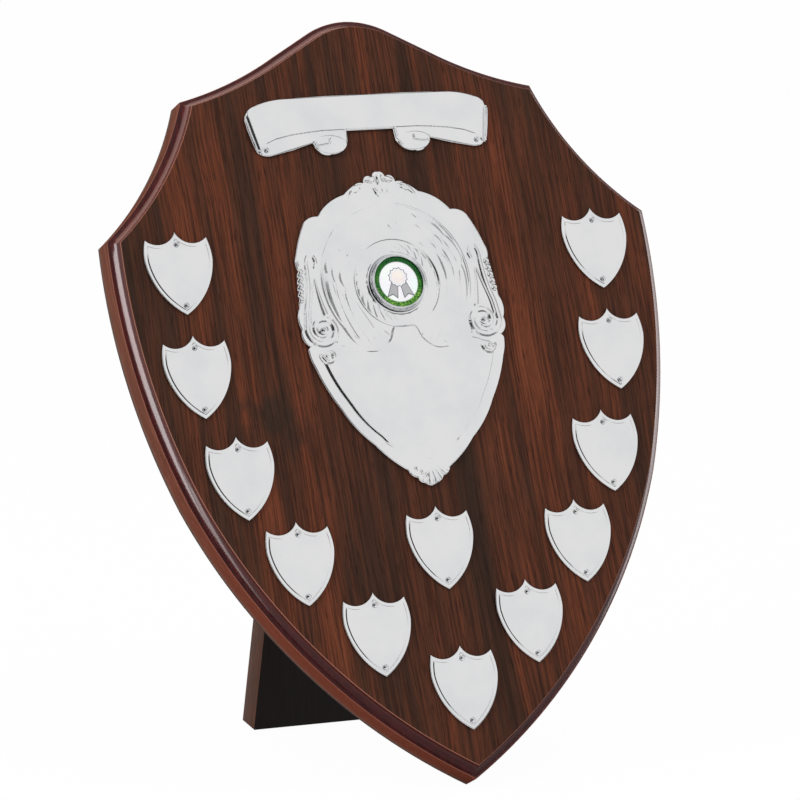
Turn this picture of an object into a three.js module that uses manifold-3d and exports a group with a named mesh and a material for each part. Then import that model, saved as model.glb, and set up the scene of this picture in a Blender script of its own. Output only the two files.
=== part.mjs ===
// A perpetual award shield: a moulded wooden board with a pressed centre shield, a title scroll and
// a row of small plates for winners' names, standing on its tip and on a folding strut at the back.
// Millimetres, +Z up. The board's own frame has X to the right, Y up the board from its tip and
// Z out of the face, with its back face at zero.
import * as THREE from "three";
import { mergeVertices } from "three/addons/utils/BufferGeometryUtils.js";
import Module from "manifold-3d";

const wasm = await Module();
wasm.setup();

// Driving sizes of the board.
const boardWidth = 272.6;
const boardHeight = 365;
const boardThickness = 18;
const veneerThickness = 0.6;
const veneerArris = 0.25;
const glueLine = 0.2;
const mouldingWidth = 4.4;
const mouldingDepth = 5.8;
const mouldingQuirk = 1.2;
const mouldingArris = 0.4;
const boardLean = THREE.MathUtils.degToRad(24.4);

// Clearances: a plate on the face, a pin in its hole, a turning piece beside another.
const seatGap = 0.3;
const pinClearance = 0.25;
const turningGap = 0.4;
const cutOverrun = 1;

// Sizes of the small plates, each held by two pins.
const plateWidth = 33.2;
const plateHeight = 39.5;
const plateThickness = 1.3;
const plateRimWidth = 1.5;
const plateRimStep = 0.5;
const plateEdgeRound = 0.3;
const plateTopPinDrop = 6;
const plateBottomPinRise = 4.4;

// Sizes of a domed pin.
const pinHeadDiameter = 2.6;
const pinHeadRise = 0.9;
const pinShankDiameter = 1.2;
const pinDepthInBoard = 7;

// Sizes of the title scroll.
const scrollWidth = 124;
const scrollHeight = 28.6;
const scrollThickness = 0.9;
const scrollPanelRise = 0.9;
const scrollEdgeRound = 0.5;
const scrollAboveCentre = 9.2;
const scrollPinInset = 8.6;
const scrollPinRise = 4;

// Sizes of the centre shield: its reach above and below the middle of the holder.
const centreWidth = 103.6;
const centreTopReach = 54.5;
const centreBottomReach = 97.5;
const centreThickness = 1.4;
const centreEdgeRound = 0.5;
const fieldRadius = 36.6;
const fieldRise = 0.5;
const fieldCentreRise = 1.5;
const fieldBeadRadius = 0.8;
const wreathRadius = 21.4;
const ropeInnerRadius = 15.4;
const ropeOuterRadius = 19.9;
const ropeStrandRadius = 1.5;
const leafLength = 11.5;
const leafRadius = 2.3;
const volutePinSpread = 40.6;
const volutePinDrop = 20;
const voluteReach = 7.6;
const voluteRollRadius = 1.4;
const tongueRadius = 1.3;
const borderInset = 3.6;
const borderRollRadius = 1.5;
const fieldLineRadius = 0.6;
const knotReach = 3.6;
const knotRollRadius = 0.9;
const shellRise = 13.5;
const shellFluteLength = 10.4;
const shellFluteRadius = 1.5;
const beadRadius = 1.4;
const finialDropRadius = 2.1;
const finialLeafRadius = 1;

// Sizes of the holder and of the disc that it holds.
const insertDiameter = 25;
const insertThickness = 1.2;
const holderLip = 0.4;
const holderLipThickness = 1;
const holderWall = 1.6;

// Sizes of the strut and of its hinge.
const strutFootWidth = 94;
const strutTopWidth = 64;
const strutThickness = 15;
const strutLean = THREE.MathUtils.degToRad(7);
const hingeHeight = 258.8;
const hingeLength = 50;
const hingeLeafWidth = 18;
const hingeLeafThickness = 1.2;
const hingeKnuckleRadius = 2.5;
const hingePinRadius = 1.2;
const hingeScrewSpread = 34;
const screwHeadRadius = 2.6;
const screwHeadDepth = 1;
const screwShankRadius = 1.25;
const screwLength = 11;

// Outlines, drawn by hand as the right half from the bottom point to the top point. Each point is
// [share of the half width, share of the height, bulge], where the bulge is the rise of the arc to
// the next point as a share of its chord, outwards where it is positive.
const boardOutlineShares = [
  [0, 0, 0.084],
  [0.863, 0.378, 0.049],
  [1, 0.724, -0.069],
  [0.656, 0.902, -0.039],
  [0.29, 0.956, 0],
  [0.15, 0.985, 0.063],
  [0, 1, 0],
];
const plateOutlineShares = [
  [0, 0, 0.119],
  [1, 0.655, 0.045],
  [0.905, 0.92, -0.26],
  [0, 1, 0],
];
const scrollOutlineShares = [
  [0, 0.395, 0],
  [0.194, 0.395, 0],
  [0.194, 0.2, 0.17],
  [0.34, 0, 0.17],
  [0.472, 0.14, 0],
  [0.479, 0.215, 0.01],
  [0.82, 0.035, 0.13],
  [0.945, 0.12, 0.02],
  [1, 0.65, 0.16],
  [0.9, 0.89, 0.05],
  [0.64, 0.99, 0.005],
  [0, 1, 0],
];
const scrollPanelShares = [
  [0, 0.42, 0],
  [0.42, 0.42, 0.03],
  [0.8, 0.3, -0.2],
  [0.925, 0.1, 0],
  [0.97, 0.66, 0.15],
  [0.88, 0.86, 0.05],
  [0.64, 0.955, 0.005],
  [0, 0.965, 0],
];
const scrollCurlShares = [
  [0.215, 0.24, 0.1],
  [0.34, 0.05, 0.16],
  [0.455, 0.17, 0.12],
  [0.4, 0.34, 0.05],
  [0.24, 0.35, 0.12],
];
// The centre shield's heights are shares of its reach above the holder, or below it where negative.
const centreOutlineShares = [
  [0, -1, 0.05],
  [0.06, -0.985, 0.16],
  [0.125, -0.955, 0.16],
  [0.205, -0.915, 0.04],
  [0.48, -0.78, 0.05],
  [0.74, -0.597, 0.035],
  [0.92, -0.385, 0.05],
  [0.955, -0.31, 0.25],
  [0.925, -0.285, 0.2],
  [0.985, -0.2, 0.12],
  [0.975, -0.09, 0.02],
  [0.935, 0.18, 0.1],
  [0.925, 0.3, 0.03],
  [0.8, 0.58, 0.12],
  [0.65, 0.632, 0.09],
  [0.365, 0.81, 0.03],
  [0.24, 0.895, 0.12],
  [0.155, 0.905, 0.35],
  [0.062, 0.955, 0.25],
  [0, 1, 0],
];
// Lines of relief on the right half of the centre shield, with heights as for its outline: the stem
// that rises from the volute to a hook, the tongue beside it, the line over the plain field, the
// drop of the finial and the leaf beside it, and the ends of the row of beads on the edge.
const stemShares = [
  [0.913, -0.113],
  [0.88, -0.051],
  [0.857, 0.037],
  [0.847, 0.147],
  [0.842, 0.229],
  [0.815, 0.286],
  [0.77, 0.283],
  [0.749, 0.228],
];
const tongueShares = [
  [0.762, -0.1],
  [0.776, -0.055],
  [0.784, 0.01],
  [0.784, 0.1],
];
const fieldLineShares = [
  [0.7, -0.305],
  [0.62, -0.285],
  [0.54, -0.283],
  [0.45, -0.298],
  [0.37, -0.318],
];
const finialDropShares = [
  [0, 0.8],
  [0, 0.87],
  [0, 0.93],
  [0, 0.97],
];
const finialLeafShares = [
  [0.19, 0.885],
  [0.255, 0.858],
  [0.31, 0.8],
];
const beadRowShares = [
  [0.911, 0.147],
  [0.946, -0.051],
];
const knotShares = [0.77, -0.335];
const borderSpanShares = [-0.36, -0.87];
const fieldFootShare = -0.315;

// Widths along a roll of relief, from its start to its end, as shares of its full width.
const leafWidthShares = [0.2, 0.8, 1, 0.7, 0.12];
const strandWidthShares = [0.35, 1, 0.35];
const tongueWidthShares = [1, 0.75, 0.5, 0.2];
const fluteWidthShares = [0.25, 0.6, 0.95, 0.7];
const dropWidthShares = [0.2, 0.7, 1, 0.5];
const sprigWidthShares = [0.5, 1, 0.4];
const beadWidthShares = [0.45, 1, 0.45];
const scrollTaperShare = 0.55;
const reliefHeightShare = 0.8;

// Middles of the small plates down one side, as shares of the board's half width and height.
const sidePlateShares = [
  [0.7735, 0.6718],
  [0.769, 0.5364],
  [0.6757, 0.4027],
  [0.5128, 0.2882],
  [0.281, 0.1904],
];
const tipPlateShare = 0.1132;
const centreHeightShare = 0.6411;
const centrePlateGap = 9.4;

// How finely curves are cut into straight pieces.
const broadArcStep = THREE.MathUtils.degToRad(5);
const smallArcStep = THREE.MathUtils.degToRad(18);
const plateArcStep = THREE.MathUtils.degToRad(24);
const coveSteps = 4;
const ringSegments = 36;
const pinSides = 7;
const roundSides = 14;
const voluteSteps = 14;
const knotSteps = 7;
const roundCrown = 3;
const ridgeCrown = 2;

const finish = (color, roughness, metalness) =>
  new THREE.MeshStandardMaterial({ color, roughness, metalness });
const silver = finish(0xdedede, 0.22, 0.95);
const veneer = finish(0x4a2a1c, 0.42, 0);
const mahogany = finish(0x5e2016, 0.3, 0);
const darkBoard = finish(0x2a1712, 0.55, 0);
const brass = finish(0xb08d4a, 0.35, 0.9);
const greenDisc = finish(0x2f7a2c, 0.25, 0.4);

// Points of one arc from a towards b, without b. A flat arc gives its first point alone.
function arcPoints(a, b, bulge, step) {
  if (bulge === 0) return [a.clone()];
  const chord = b.clone().sub(a);
  const outward = new THREE.Vector2(chord.y, -chord.x).normalize();
  const rise = bulge * chord.length();
  const radius = (chord.lengthSq() / 4 + rise * rise) / (2 * rise);
  const middle = a.clone().add(b).divideScalar(2).addScaledVector(outward, rise - radius);
  const turn = 4 * Math.atan(2 * bulge);
  const pieces = Math.max(2, Math.ceil(Math.abs(turn) / step));
  return Array.from({ length: pieces }, (_, i) => a.clone().rotateAround(middle, (turn * i) / pieces));
}

// A closed outline through the given points and bulges.
function closedOutline(points, step) {
  return points.flatMap((p, i) => arcPoints(p.at, points[(i + 1) % points.length].at, p.bulge, step));
}

// A closed outline from its right half, mirrored to the left, running anticlockwise.
function mirroredOutline(half, step) {
  const right = half.slice(0, -1).flatMap((p, i) => arcPoints(p.at, half[i + 1].at, p.bulge, step));
  right.push(half.at(-1).at.clone());
  const onAxis = (p) => Math.abs(p.x) < Number.EPSILON;
  const left = right.filter((p) => !onAxis(p)).reverse();
  return [...right, ...left.map((p) => new THREE.Vector2(-p.x, p.y))];
}

// Turns rows of shares into outline points of real size.
function sized(shares, halfWidth, height) {
  return shares.map(([x, y, bulge]) => ({ at: new THREE.Vector2(x * halfWidth, y * height), bulge }));
}

// The outline moved inwards by a distance, with its corners kept as mitres.
function inset(outline, distance) {
  return outline.map((p, i) => {
    const before = p.clone().sub(outline.at(i - 1)).normalize();
    const after = outline[(i + 1) % outline.length].clone().sub(p).normalize();
    const n1 = new THREE.Vector2(-before.y, before.x);
    const n2 = new THREE.Vector2(-after.y, after.x);
    return p.clone().addScaledVector(n1.clone().add(n2), distance / (1 + n1.dot(n2)));
  });
}

function geometryOf(positions, index) {
  return new THREE.BufferGeometry()
    .setAttribute("position", new THREE.Float32BufferAttribute(positions, 3))
    .setIndex(index);
}

// Side faces between rings of equal length, closed by the given triangles of the first and last ring.
function ringedGeometry(rings, capTriangles) {
  const count = rings[0].length;
  const index = [];
  for (let r = 0; r + 1 < rings.length; r++) {
    for (let i = 0; i < count; i++) {
      const j = (i + 1) % count;
      const low = r * count;
      const high = low + count;
      index.push(low + i, low + j, high + j, low + i, high + j, high + i);
    }
  }
  const last = (rings.length - 1) * count;
  for (const [a, b, c] of capTriangles) {
    index.push(c, b, a, last + a, last + b, last + c);
  }
  return geometryOf(rings.flat().flatMap((p) => [p.x, p.y, p.z]), index);
}

// A solid whose outline is moved in from level to level, such as a board with a moulded edge.
// Each level is [inset, height], from the back to the front.
function mouldedSolid(outline, levels) {
  const caps = THREE.ShapeUtils.triangulateShape(outline, []);
  const rings = levels.map(([distance, z]) =>
    inset(outline, distance).map((p) => new THREE.Vector3(p.x, p.y, z)),
  );
  return ringedGeometry(rings, caps);
}

// A roll of relief along a path: rounded or ridged across, as thick as radii says at each point,
// and sunk into the plate below it by the given depth.
function reliefRoll(path, radii, level, sink, crownSteps) {
  const rings = path.map((p, i) => {
    const ahead = path[Math.min(i + 1, path.length - 1)];
    const behind = path[Math.max(i - 1, 0)];
    const along = ahead.clone().sub(behind).normalize();
    const side = new THREE.Vector2(along.y, -along.x);
    const ring = Array.from({ length: crownSteps + 1 }, (_, k) => {
      const angle = (Math.PI * k) / crownSteps;
      const across = p.clone().addScaledVector(side, radii[i] * Math.cos(angle));
      const rise = radii[i] * reliefHeightShare * Math.sin(angle);
      return new THREE.Vector3(across.x, across.y, level + rise);
    });
    const leftFoot = p.clone().addScaledVector(side, -radii[i]);
    const rightFoot = p.clone().addScaledVector(side, radii[i]);
    ring.push(new THREE.Vector3(leftFoot.x, leftFoot.y, level - sink));
    ring.push(new THREE.Vector3(rightFoot.x, rightFoot.y, level - sink));
    return ring.reverse();
  });
  const caps = Array.from({ length: rings[0].length - 2 }, (_, k) => [0, k + 1, k + 2]);
  return ringedGeometry(rings, caps);
}

// A body turned about its axis, from a closed or axis-to-axis profile of [radius, height].
function turned(profile, sides) {
  const points = profile.map(([r, y]) => new THREE.Vector2(r, y));
  return new THREE.LatheGeometry(points, sides).rotateX(Math.PI / 2);
}

function solid(geometry) {
  const bare = geometry.clone();
  bare.deleteAttribute("normal");
  bare.deleteAttribute("uv");
  const merged = mergeVertices(bare);
  const all = Array.from(merged.index.array);
  const triVerts = [];
  for (let i = 0; i < all.length; i += 3) {
    const [a, b, c] = all.slice(i, i + 3);
    if (a !== b && b !== c && a !== c) triVerts.push(a, b, c);
  }
  const vertProperties = merged.attributes.position.array;
  return new wasm.Manifold(
    new wasm.Mesh({ numProp: 3, vertProperties, triVerts: new Uint32Array(triVerts) }),
  );
}

function geometryFrom(body) {
  const mesh = body.getMesh();
  return geometryOf(Array.from(mesh.vertProperties), Array.from(mesh.triVerts));
}

const joined = (geometries) => geometries.map(solid).reduce((all, s) => all.add(s));
const without = (body, cutters) => cutters.reduce((left, c) => left.subtract(c), body);

// A straight hole or shank along Z between two heights.
function roundBar(x, y, radius, low, high, sides) {
  return new THREE.CylinderGeometry(radius, radius, high - low, sides)
    .rotateX(Math.PI / 2)
    .translate(x, y, (low + high) / 2);
}

function meshOf(name, geometry, material) {
  const mesh = new THREE.Mesh(geometry, material);
  mesh.name = name;
  return mesh;
}

// The board: places that the pieces share.
const boardOutline = mirroredOutline(
  sized(boardOutlineShares, boardWidth / 2, boardHeight),
  broadArcStep,
);
const faceLevel = boardThickness;
const seatLevel = faceLevel + seatGap;
const coreBack = veneerThickness + glueLine;
const coreFront = boardThickness - veneerThickness - glueLine;
const centreAt = new THREE.Vector2(0, boardHeight * centreHeightShare);

// Middles of all the small plates: down the two sides, one at the tip, and a column between the
// centre shield and the tip plate that takes as many as there is room for.
function platePlaces() {
  const places = [];
  for (const sign of [-1, 1]) {
    for (const [x, y] of sidePlateShares) {
      places.push(new THREE.Vector2((sign * x * boardWidth) / 2, y * boardHeight));
    }
  }
  const tip = new THREE.Vector2(0, tipPlateShare * boardHeight);
  let y = centreAt.y - centreBottomReach - centrePlateGap - plateHeight / 2;
  while (y - plateHeight > tip.y + centrePlateGap) {
    places.push(new THREE.Vector2(0, y));
    y -= plateHeight + centrePlateGap;
  }
  places.push(tip);
  return places;
}

const plates = platePlaces();
const platePinOffsets = [
  plateHeight / 2 - plateTopPinDrop,
  plateBottomPinRise - plateHeight / 2,
];
const scrollBottom = centreAt.y + centreTopReach + scrollAboveCentre;

// Every pin: its name, its place on the board, and the height of the metal under its head.
function pinPlaces() {
  const pins = [];
  plates.forEach((at, i) => {
    platePinOffsets.forEach((offset, k) => {
      const name = `plate_pin_${String(i + 1).padStart(2, "0")}_${k ? "lower" : "upper"}`;
      pins.push({ name, at: new THREE.Vector2(at.x, at.y + offset), under: plateThickness });
    });
  });
  for (const [word, sign] of [["left", -1], ["right", 1]]) {
    pins.push({
      name: `scroll_pin_${word}`,
      at: new THREE.Vector2(sign * (scrollWidth / 2 - scrollPinInset), scrollBottom + scrollPinRise),
      under: scrollThickness,
    });
    pins.push({
      name: `centre_pin_${word}`,
      at: new THREE.Vector2(sign * volutePinSpread, centreAt.y - volutePinDrop),
      under: centreThickness,
    });
  }
  return pins;
}

const pins = pinPlaces();
const pinHoleRadius = pinShankDiameter / 2 + pinClearance;
const pinHole = (pin, low, high) =>
  solid(roundBar(pin.at.x, pin.at.y, pinHoleRadius, low, high, pinSides));
const pinPoint = faceLevel - pinDepthInBoard;

// The hinge: its axis stands off the board's back by its own radius and a running gap.
const axisOffset = hingeKnuckleRadius + seatGap;
const screwXs = [-hingeScrewSpread / 2, hingeScrewSpread / 2];
const screwDrop = hingeKnuckleRadius + hingeLeafWidth / 2;

// A countersunk screw, head up, with its top at zero height.
function screwProfile(clearance, length) {
  return [
    [0, -length],
    [screwShankRadius + clearance, -length + (clearance ? 0 : screwShankRadius)],
    [screwShankRadius + clearance, -screwHeadDepth],
    [screwHeadRadius + clearance, 0],
  ];
}
const screwGeometry = () => turned([...screwProfile(0, screwLength), [0, 0]], roundSides);
const screwCutter = () =>
  turned(
    [
      ...screwProfile(pinClearance, screwLength + pinClearance),
      [screwHeadRadius + pinClearance, cutOverrun],
      [0, cutOverrun],
    ],
    roundSides,
  );

// The moulded edge, from the back of the core round to the face: a square band, a fine arris,
// a hollow and a short upright quirk under the veneer.
function coreLevels() {
  const foot = boardThickness - mouldingDepth;
  const top = boardThickness - mouldingQuirk;
  const levels = [
    [0, coreBack],
    [0, foot - mouldingArris],
  ];
  for (let i = 0; i <= coveSteps; i++) {
    const angle = (Math.PI / 2) * (1 - i / coveSteps);
    const spread = mouldingWidth - mouldingArris;
    levels.push([mouldingWidth - spread * (1 - Math.cos(angle)), top - (top - foot) * Math.sin(angle)]);
  }
  levels.push([mouldingWidth, coreFront]);
  return levels;
}

function boardPieces() {
  const faceOutline = inset(boardOutline, mouldingWidth);
  const boardScrews = screwXs.map((x) => {
    const depth = -axisOffset + hingeKnuckleRadius - hingeLeafThickness;
    const cutter = screwCutter().rotateX(Math.PI);
    return solid(cutter.translate(x, hingeHeight - screwDrop, depth));
  });
  const pinHoles = pins.map((pin) => pinHole(pin, pinPoint - pinClearance, faceLevel + cutOverrun));
  const core = without(solid(mouldedSolid(boardOutline, coreLevels())), [...pinHoles, ...boardScrews]);
  const face = mouldedSolid(faceOutline, [
    [0, boardThickness - veneerThickness],
    [0, boardThickness - veneerArris],
    [veneerArris, boardThickness],
  ]);
  const back = mouldedSolid(boardOutline, [
    [0, 0],
    [0, veneerThickness],
  ]);
  return [
    meshOf("core_board", geometryFrom(core), mahogany),
    meshOf("face_veneer", geometryFrom(without(solid(face), pinHoles)), veneer),
    meshOf("back_veneer", geometryFrom(without(solid(back), boardScrews)), darkBoard),
  ];
}

// A small name plate: a pressed shield with a stepped rim, about its own middle.
function plateBody() {
  const half = sized(plateOutlineShares, plateWidth / 2, plateHeight);
  const outline = mirroredOutline(half, plateArcStep);
  const rimLevel = plateThickness - plateRimStep;
  const body = solid(
    mouldedSolid(outline, [
      [0, 0],
      [0, rimLevel - plateEdgeRound],
      [plateEdgeRound, rimLevel],
      [plateRimWidth, rimLevel],
      [plateRimWidth + plateEdgeRound, plateThickness],
    ]).translate(0, -plateHeight / 2, 0),
  );
  const holes = platePinOffsets.map((y) =>
    solid(roundBar(0, y, pinHoleRadius, -cutOverrun, plateThickness + cutOverrun, pinSides)),
  );
  return without(body, holes);
}

function platePieces() {
  const geometry = geometryFrom(plateBody());
  return plates.map((at, i) => {
    const mesh = meshOf(`name_plate_${String(i + 1).padStart(2, "0")}`, geometry, silver);
    mesh.position.set(at.x, at.y, seatLevel);
    return mesh;
  });
}

// A domed pin with the underside of its head at zero height.
function pinGeometry(under) {
  const radius = pinShankDiameter / 2;
  const length = seatGap + under + seatGap + pinDepthInBoard;
  return turned(
    [
      [0, -length],
      [radius, -length + radius],
      [radius, 0],
      [pinHeadDiameter / 2, 0],
      [pinHeadDiameter / 2 * Math.SQRT1_2, pinHeadRise * Math.SQRT1_2],
      [0, pinHeadRise],
    ],
    pinSides,
  );
}

function pinPieces() {
  return pins.map((pin) => {
    const mesh = meshOf(pin.name, pinGeometry(pin.under), silver);
    mesh.position.set(pin.at.x, pin.at.y, seatLevel + pin.under + seatGap);
    return mesh;
  });
}

// The title scroll: a ribbon plate with a raised front panel and two curled tails.
function scrollPiece() {
  const size = (shares) => sized(shares, scrollWidth / 2, scrollHeight);
  const top = scrollThickness + scrollPanelRise;
  const base = mouldedSolid(mirroredOutline(size(scrollOutlineShares), smallArcStep), [
    [0, 0],
    [0, scrollThickness - scrollEdgeRound / 2],
    [scrollEdgeRound / 2, scrollThickness],
  ]);
  const panel = mouldedSolid(mirroredOutline(size(scrollPanelShares), smallArcStep), [
    [0, scrollThickness / 2],
    [0, scrollThickness],
    [scrollEdgeRound, top],
  ]);
  const curls = [-1, 1].map((sign) => {
    const points = size(scrollCurlShares).map(({ at, bulge }) => ({
      at: new THREE.Vector2(at.x * sign, at.y),
      bulge: bulge * sign,
    }));
    const outline = closedOutline(points, smallArcStep);
    return mouldedSolid(sign > 0 ? outline : outline.reverse(), [
      [0, scrollThickness / 2],
      [0, scrollThickness],
      [scrollEdgeRound, scrollThickness + scrollPanelRise / 2],
    ]);
  });
  const holes = pins
    .filter((pin) => pin.name.startsWith("scroll"))
    .map((pin) => pinHole(pin, -cutOverrun, top + cutOverrun).translate([0, -scrollBottom, 0]));
  const body = without(joined([base, panel, ...curls]), holes);
  const mesh = meshOf("title_scroll", geometryFrom(body), silver);
  mesh.position.set(0, scrollBottom, seatLevel);
  return mesh;
}

// A place on the centre shield from its shares, about the holder's middle.
const onShield = ([x, y]) =>
  new THREE.Vector2((x * centreWidth) / 2, y * (y < 0 ? centreBottomReach : centreTopReach));

function centreOutline() {
  const half = centreOutlineShares.map((row) => ({ at: onShield(row), bulge: row[2] }));
  return mirroredOutline(half, smallArcStep);
}

const polar = (radius, angle) =>
  new THREE.Vector2(radius * Math.cos(angle), radius * Math.sin(angle));
const samples = (count, make) => Array.from({ length: count + 1 }, (_, i) => make(i / count));

// The centre shield: a pressed plate with a beaded circle, a rope wreath, laurel sprays, volutes at
// the sides, a rolled border round the plain field for engraving, and a fluted shell at the tip.
const laurelLeaves = 9;
const laurelStart = THREE.MathUtils.degToRad(-62);
const laurelEnd = THREE.MathUtils.degToRad(82);
const leafSplay = THREE.MathUtils.degToRad(24);
const ropeStrands = 20;
const ropeTwist = THREE.MathUtils.degToRad(20);
const voluteTurns = 1.25;
const knotTurns = 0.9;
const shellFlutes = 7;
const shellSpread = THREE.MathUtils.degToRad(112);
const edgeBeads = 5;

// The two levels that relief stands on, and the depth that it is rooted in the plate.
const plateLevel = centreThickness;
const fieldLevel = centreThickness + fieldRise;
const rootDepth = centreThickness / 2;

// A roll whose width follows a list of shares, spaced as its path is.
function shapedRoll(path, widthShares, radius, level, crownSteps) {
  const radii = widthShares.map((share) => share * radius);
  return reliefRoll(path, radii, level, rootDepth, crownSteps);
}

// A straight roll from a start point along a heading.
function straightRoll(start, heading, length, widthShares, radius, level) {
  const path = samples(widthShares.length - 1, (t) => start.clone().add(polar(length * t, heading)));
  return shapedRoll(path, widthShares, radius, level, ridgeCrown);
}

// A roll that widens steadily from its first point to its last.
function taperedRoll(path, radius, level, crownSteps) {
  const shares = path.map((_, i) => THREE.MathUtils.lerp(scrollTaperShare, 1, i / (path.length - 1)));
  return shapedRoll(path, shares, radius, level, crownSteps);
}

// Points of a spiral that unwinds anticlockwise and ends straight to the right of its eye.
function spiral(eye, innerReach, outerReach, turns, steps) {
  return samples(steps, (t) => {
    const reach = THREE.MathUtils.lerp(innerReach, outerReach, t);
    return eye.clone().add(polar(reach, 2 * Math.PI * turns * (t - 1)));
  });
}

function laurelSpray() {
  const middleRadius = (wreathRadius + fieldRadius) / 2;
  return Array.from({ length: laurelLeaves }, (_, i) => {
    const angle = THREE.MathUtils.lerp(laurelStart, laurelEnd, i / (laurelLeaves - 1));
    const side = i % 2 ? 1 : -1;
    const root = polar(middleRadius, angle);
    root.y += fieldCentreRise;
    const heading = angle + Math.PI / 2 - side * leafSplay;
    return straightRoll(root, heading, leafLength, leafWidthShares, leafRadius, fieldLevel);
  });
}

function ropeWreath() {
  return Array.from({ length: ropeStrands }, (_, i) => {
    const start = (2 * Math.PI * i) / ropeStrands;
    const path = samples(strandWidthShares.length - 1, (t) =>
      polar(THREE.MathUtils.lerp(ropeInnerRadius, ropeOuterRadius, t), start + ropeTwist * t),
    );
    return shapedRoll(path, strandWidthShares, ropeStrandRadius, fieldLevel, ridgeCrown);
  });
}

// A round bead line, closed on itself.
function beadCircle(radius, level) {
  const foot = level - rootDepth;
  return turned(
    [
      [radius - fieldBeadRadius, foot],
      [radius + fieldBeadRadius, foot],
      [radius + fieldBeadRadius, level],
      [radius, level + fieldBeadRadius * reliefHeightShare],
      [radius - fieldBeadRadius, level],
      [radius - fieldBeadRadius, foot],
    ],
    ringSegments,
  );
}

// One side scroll: a spiral round the pin, then a stem up beside the edge to a small hook.
function sideScroll() {
  const eye = new THREE.Vector2(volutePinSpread, -volutePinDrop);
  const eyeRadius = pinHeadDiameter / 2 + voluteRollRadius + pinClearance;
  const path = [
    ...spiral(eye, eyeRadius, voluteReach, voluteTurns, voluteSteps),
    ...stemShares.map(onShield),
  ];
  return taperedRoll(path.reverse(), voluteRollRadius, plateLevel, roundCrown);
}

// The small knot where the side scroll meets the border.
function sideKnot() {
  const path = spiral(onShield(knotShares), knotRollRadius, knotReach, knotTurns, knotSteps);
  return taperedRoll(path, knotRollRadius, plateLevel, ridgeCrown);
}

function edgeBeadRow() {
  const [top, bottom] = beadRowShares.map(onShield);
  const along = bottom.clone().sub(top);
  const beadStart = along.clone().normalize().multiplyScalar(-beadRadius);
  return Array.from({ length: edgeBeads }, (_, i) => {
    const middle = top.clone().addScaledVector(along, i / (edgeBeads - 1));
    const start = middle.add(beadStart);
    return straightRoll(start, along.angle(), 2 * beadRadius, beadWidthShares, beadRadius, plateLevel);
  });
}

// The rolled border along the right edge of the plain field, down to the shell.
function fieldBorder(outline) {
  const [top, bottom] = borderSpanShares.map((share) => share * centreBottomReach);
  const path = inset(outline, borderInset).filter((p) => p.x > 0 && p.y < top && p.y > bottom);
  return taperedRoll(path, borderRollRadius, plateLevel, roundCrown);
}

// The shell: flutes that fan out to the tip from a point above it.
function tipShell() {
  const root = new THREE.Vector2(0, shellRise - centreBottomReach);
  return Array.from({ length: shellFlutes }, (_, i) => {
    const heading = -Math.PI / 2 + shellSpread * (i / (shellFlutes - 1) - 1 / 2);
    return straightRoll(root, heading, shellFluteLength, fluteWidthShares, shellFluteRadius, plateLevel);
  });
}

// The raised round field with its bead line, cut off straight where the plain field begins.
function roundField() {
  const disc = turned(
    [
      [0, rootDepth],
      [fieldRadius, rootDepth],
      [fieldRadius, plateLevel],
      [fieldRadius - fieldRise, fieldLevel],
      [0, fieldLevel],
    ],
    ringSegments,
  );
  const rim = beadCircle(fieldRadius, plateLevel);
  const lift = (geometry) => geometry.translate(0, fieldCentreRise, 0);
  const cut = new THREE.BoxGeometry(centreWidth, centreBottomReach, 2 * (fieldLevel + cutOverrun));
  cut.translate(0, fieldFootShare * centreBottomReach - centreBottomReach / 2, 0);
  return joined([disc, rim].map(lift)).subtract(solid(cut));
}

function centreShieldBody() {
  const outline = centreOutline();
  const plate = mouldedSolid(outline, [
    [0, 0],
    [0, centreThickness - centreEdgeRound],
    [centreEdgeRound, centreThickness],
  ]);
  const line = (shares, widthShares, radius) =>
    shapedRoll(shares.map(onShield), widthShares, radius, plateLevel, ridgeCrown);
  const right = [
    ...laurelSpray(),
    ...edgeBeadRow(),
    sideScroll(),
    sideKnot(),
    fieldBorder(outline),
    line(tongueShares, tongueWidthShares, tongueRadius),
    line(fieldLineShares, fieldLineShares.map(() => 1), fieldLineRadius),
    line(finialLeafShares, sprigWidthShares, finialLeafRadius),
  ];
  const left = right.map(mirroredGeometry);
  const middle = [
    plate,
    beadCircle(wreathRadius, fieldLevel),
    ...ropeWreath(),
    ...tipShell(),
    line(finialDropShares, dropWidthShares, finialDropRadius),
  ];
  const holes = [-1, 1].map((sign) => {
    const x = sign * volutePinSpread;
    const top = centreThickness + cutOverrun;
    return solid(roundBar(x, -volutePinDrop, pinHoleRadius, -cutOverrun, top, pinSides));
  });
  return without(joined([...middle, ...right, ...left]).add(roundField()), holes);
}

// The mirror image of a geometry across the middle plane, with its faces turned to point out.
function mirroredGeometry(geometry) {
  const copy = geometry.clone().scale(-1, 1, 1);
  const index = Array.from(copy.index.array);
  for (let i = 0; i < index.length; i += 3) {
    [index[i + 1], index[i + 2]] = [index[i + 2], index[i + 1]];
  }
  return copy.setIndex(index);
}

// The holder: a ring with a lip over the edge of its disc.
const insertRadius = insertDiameter / 2;
const centreTop = seatLevel + centreThickness + fieldRise;

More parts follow.
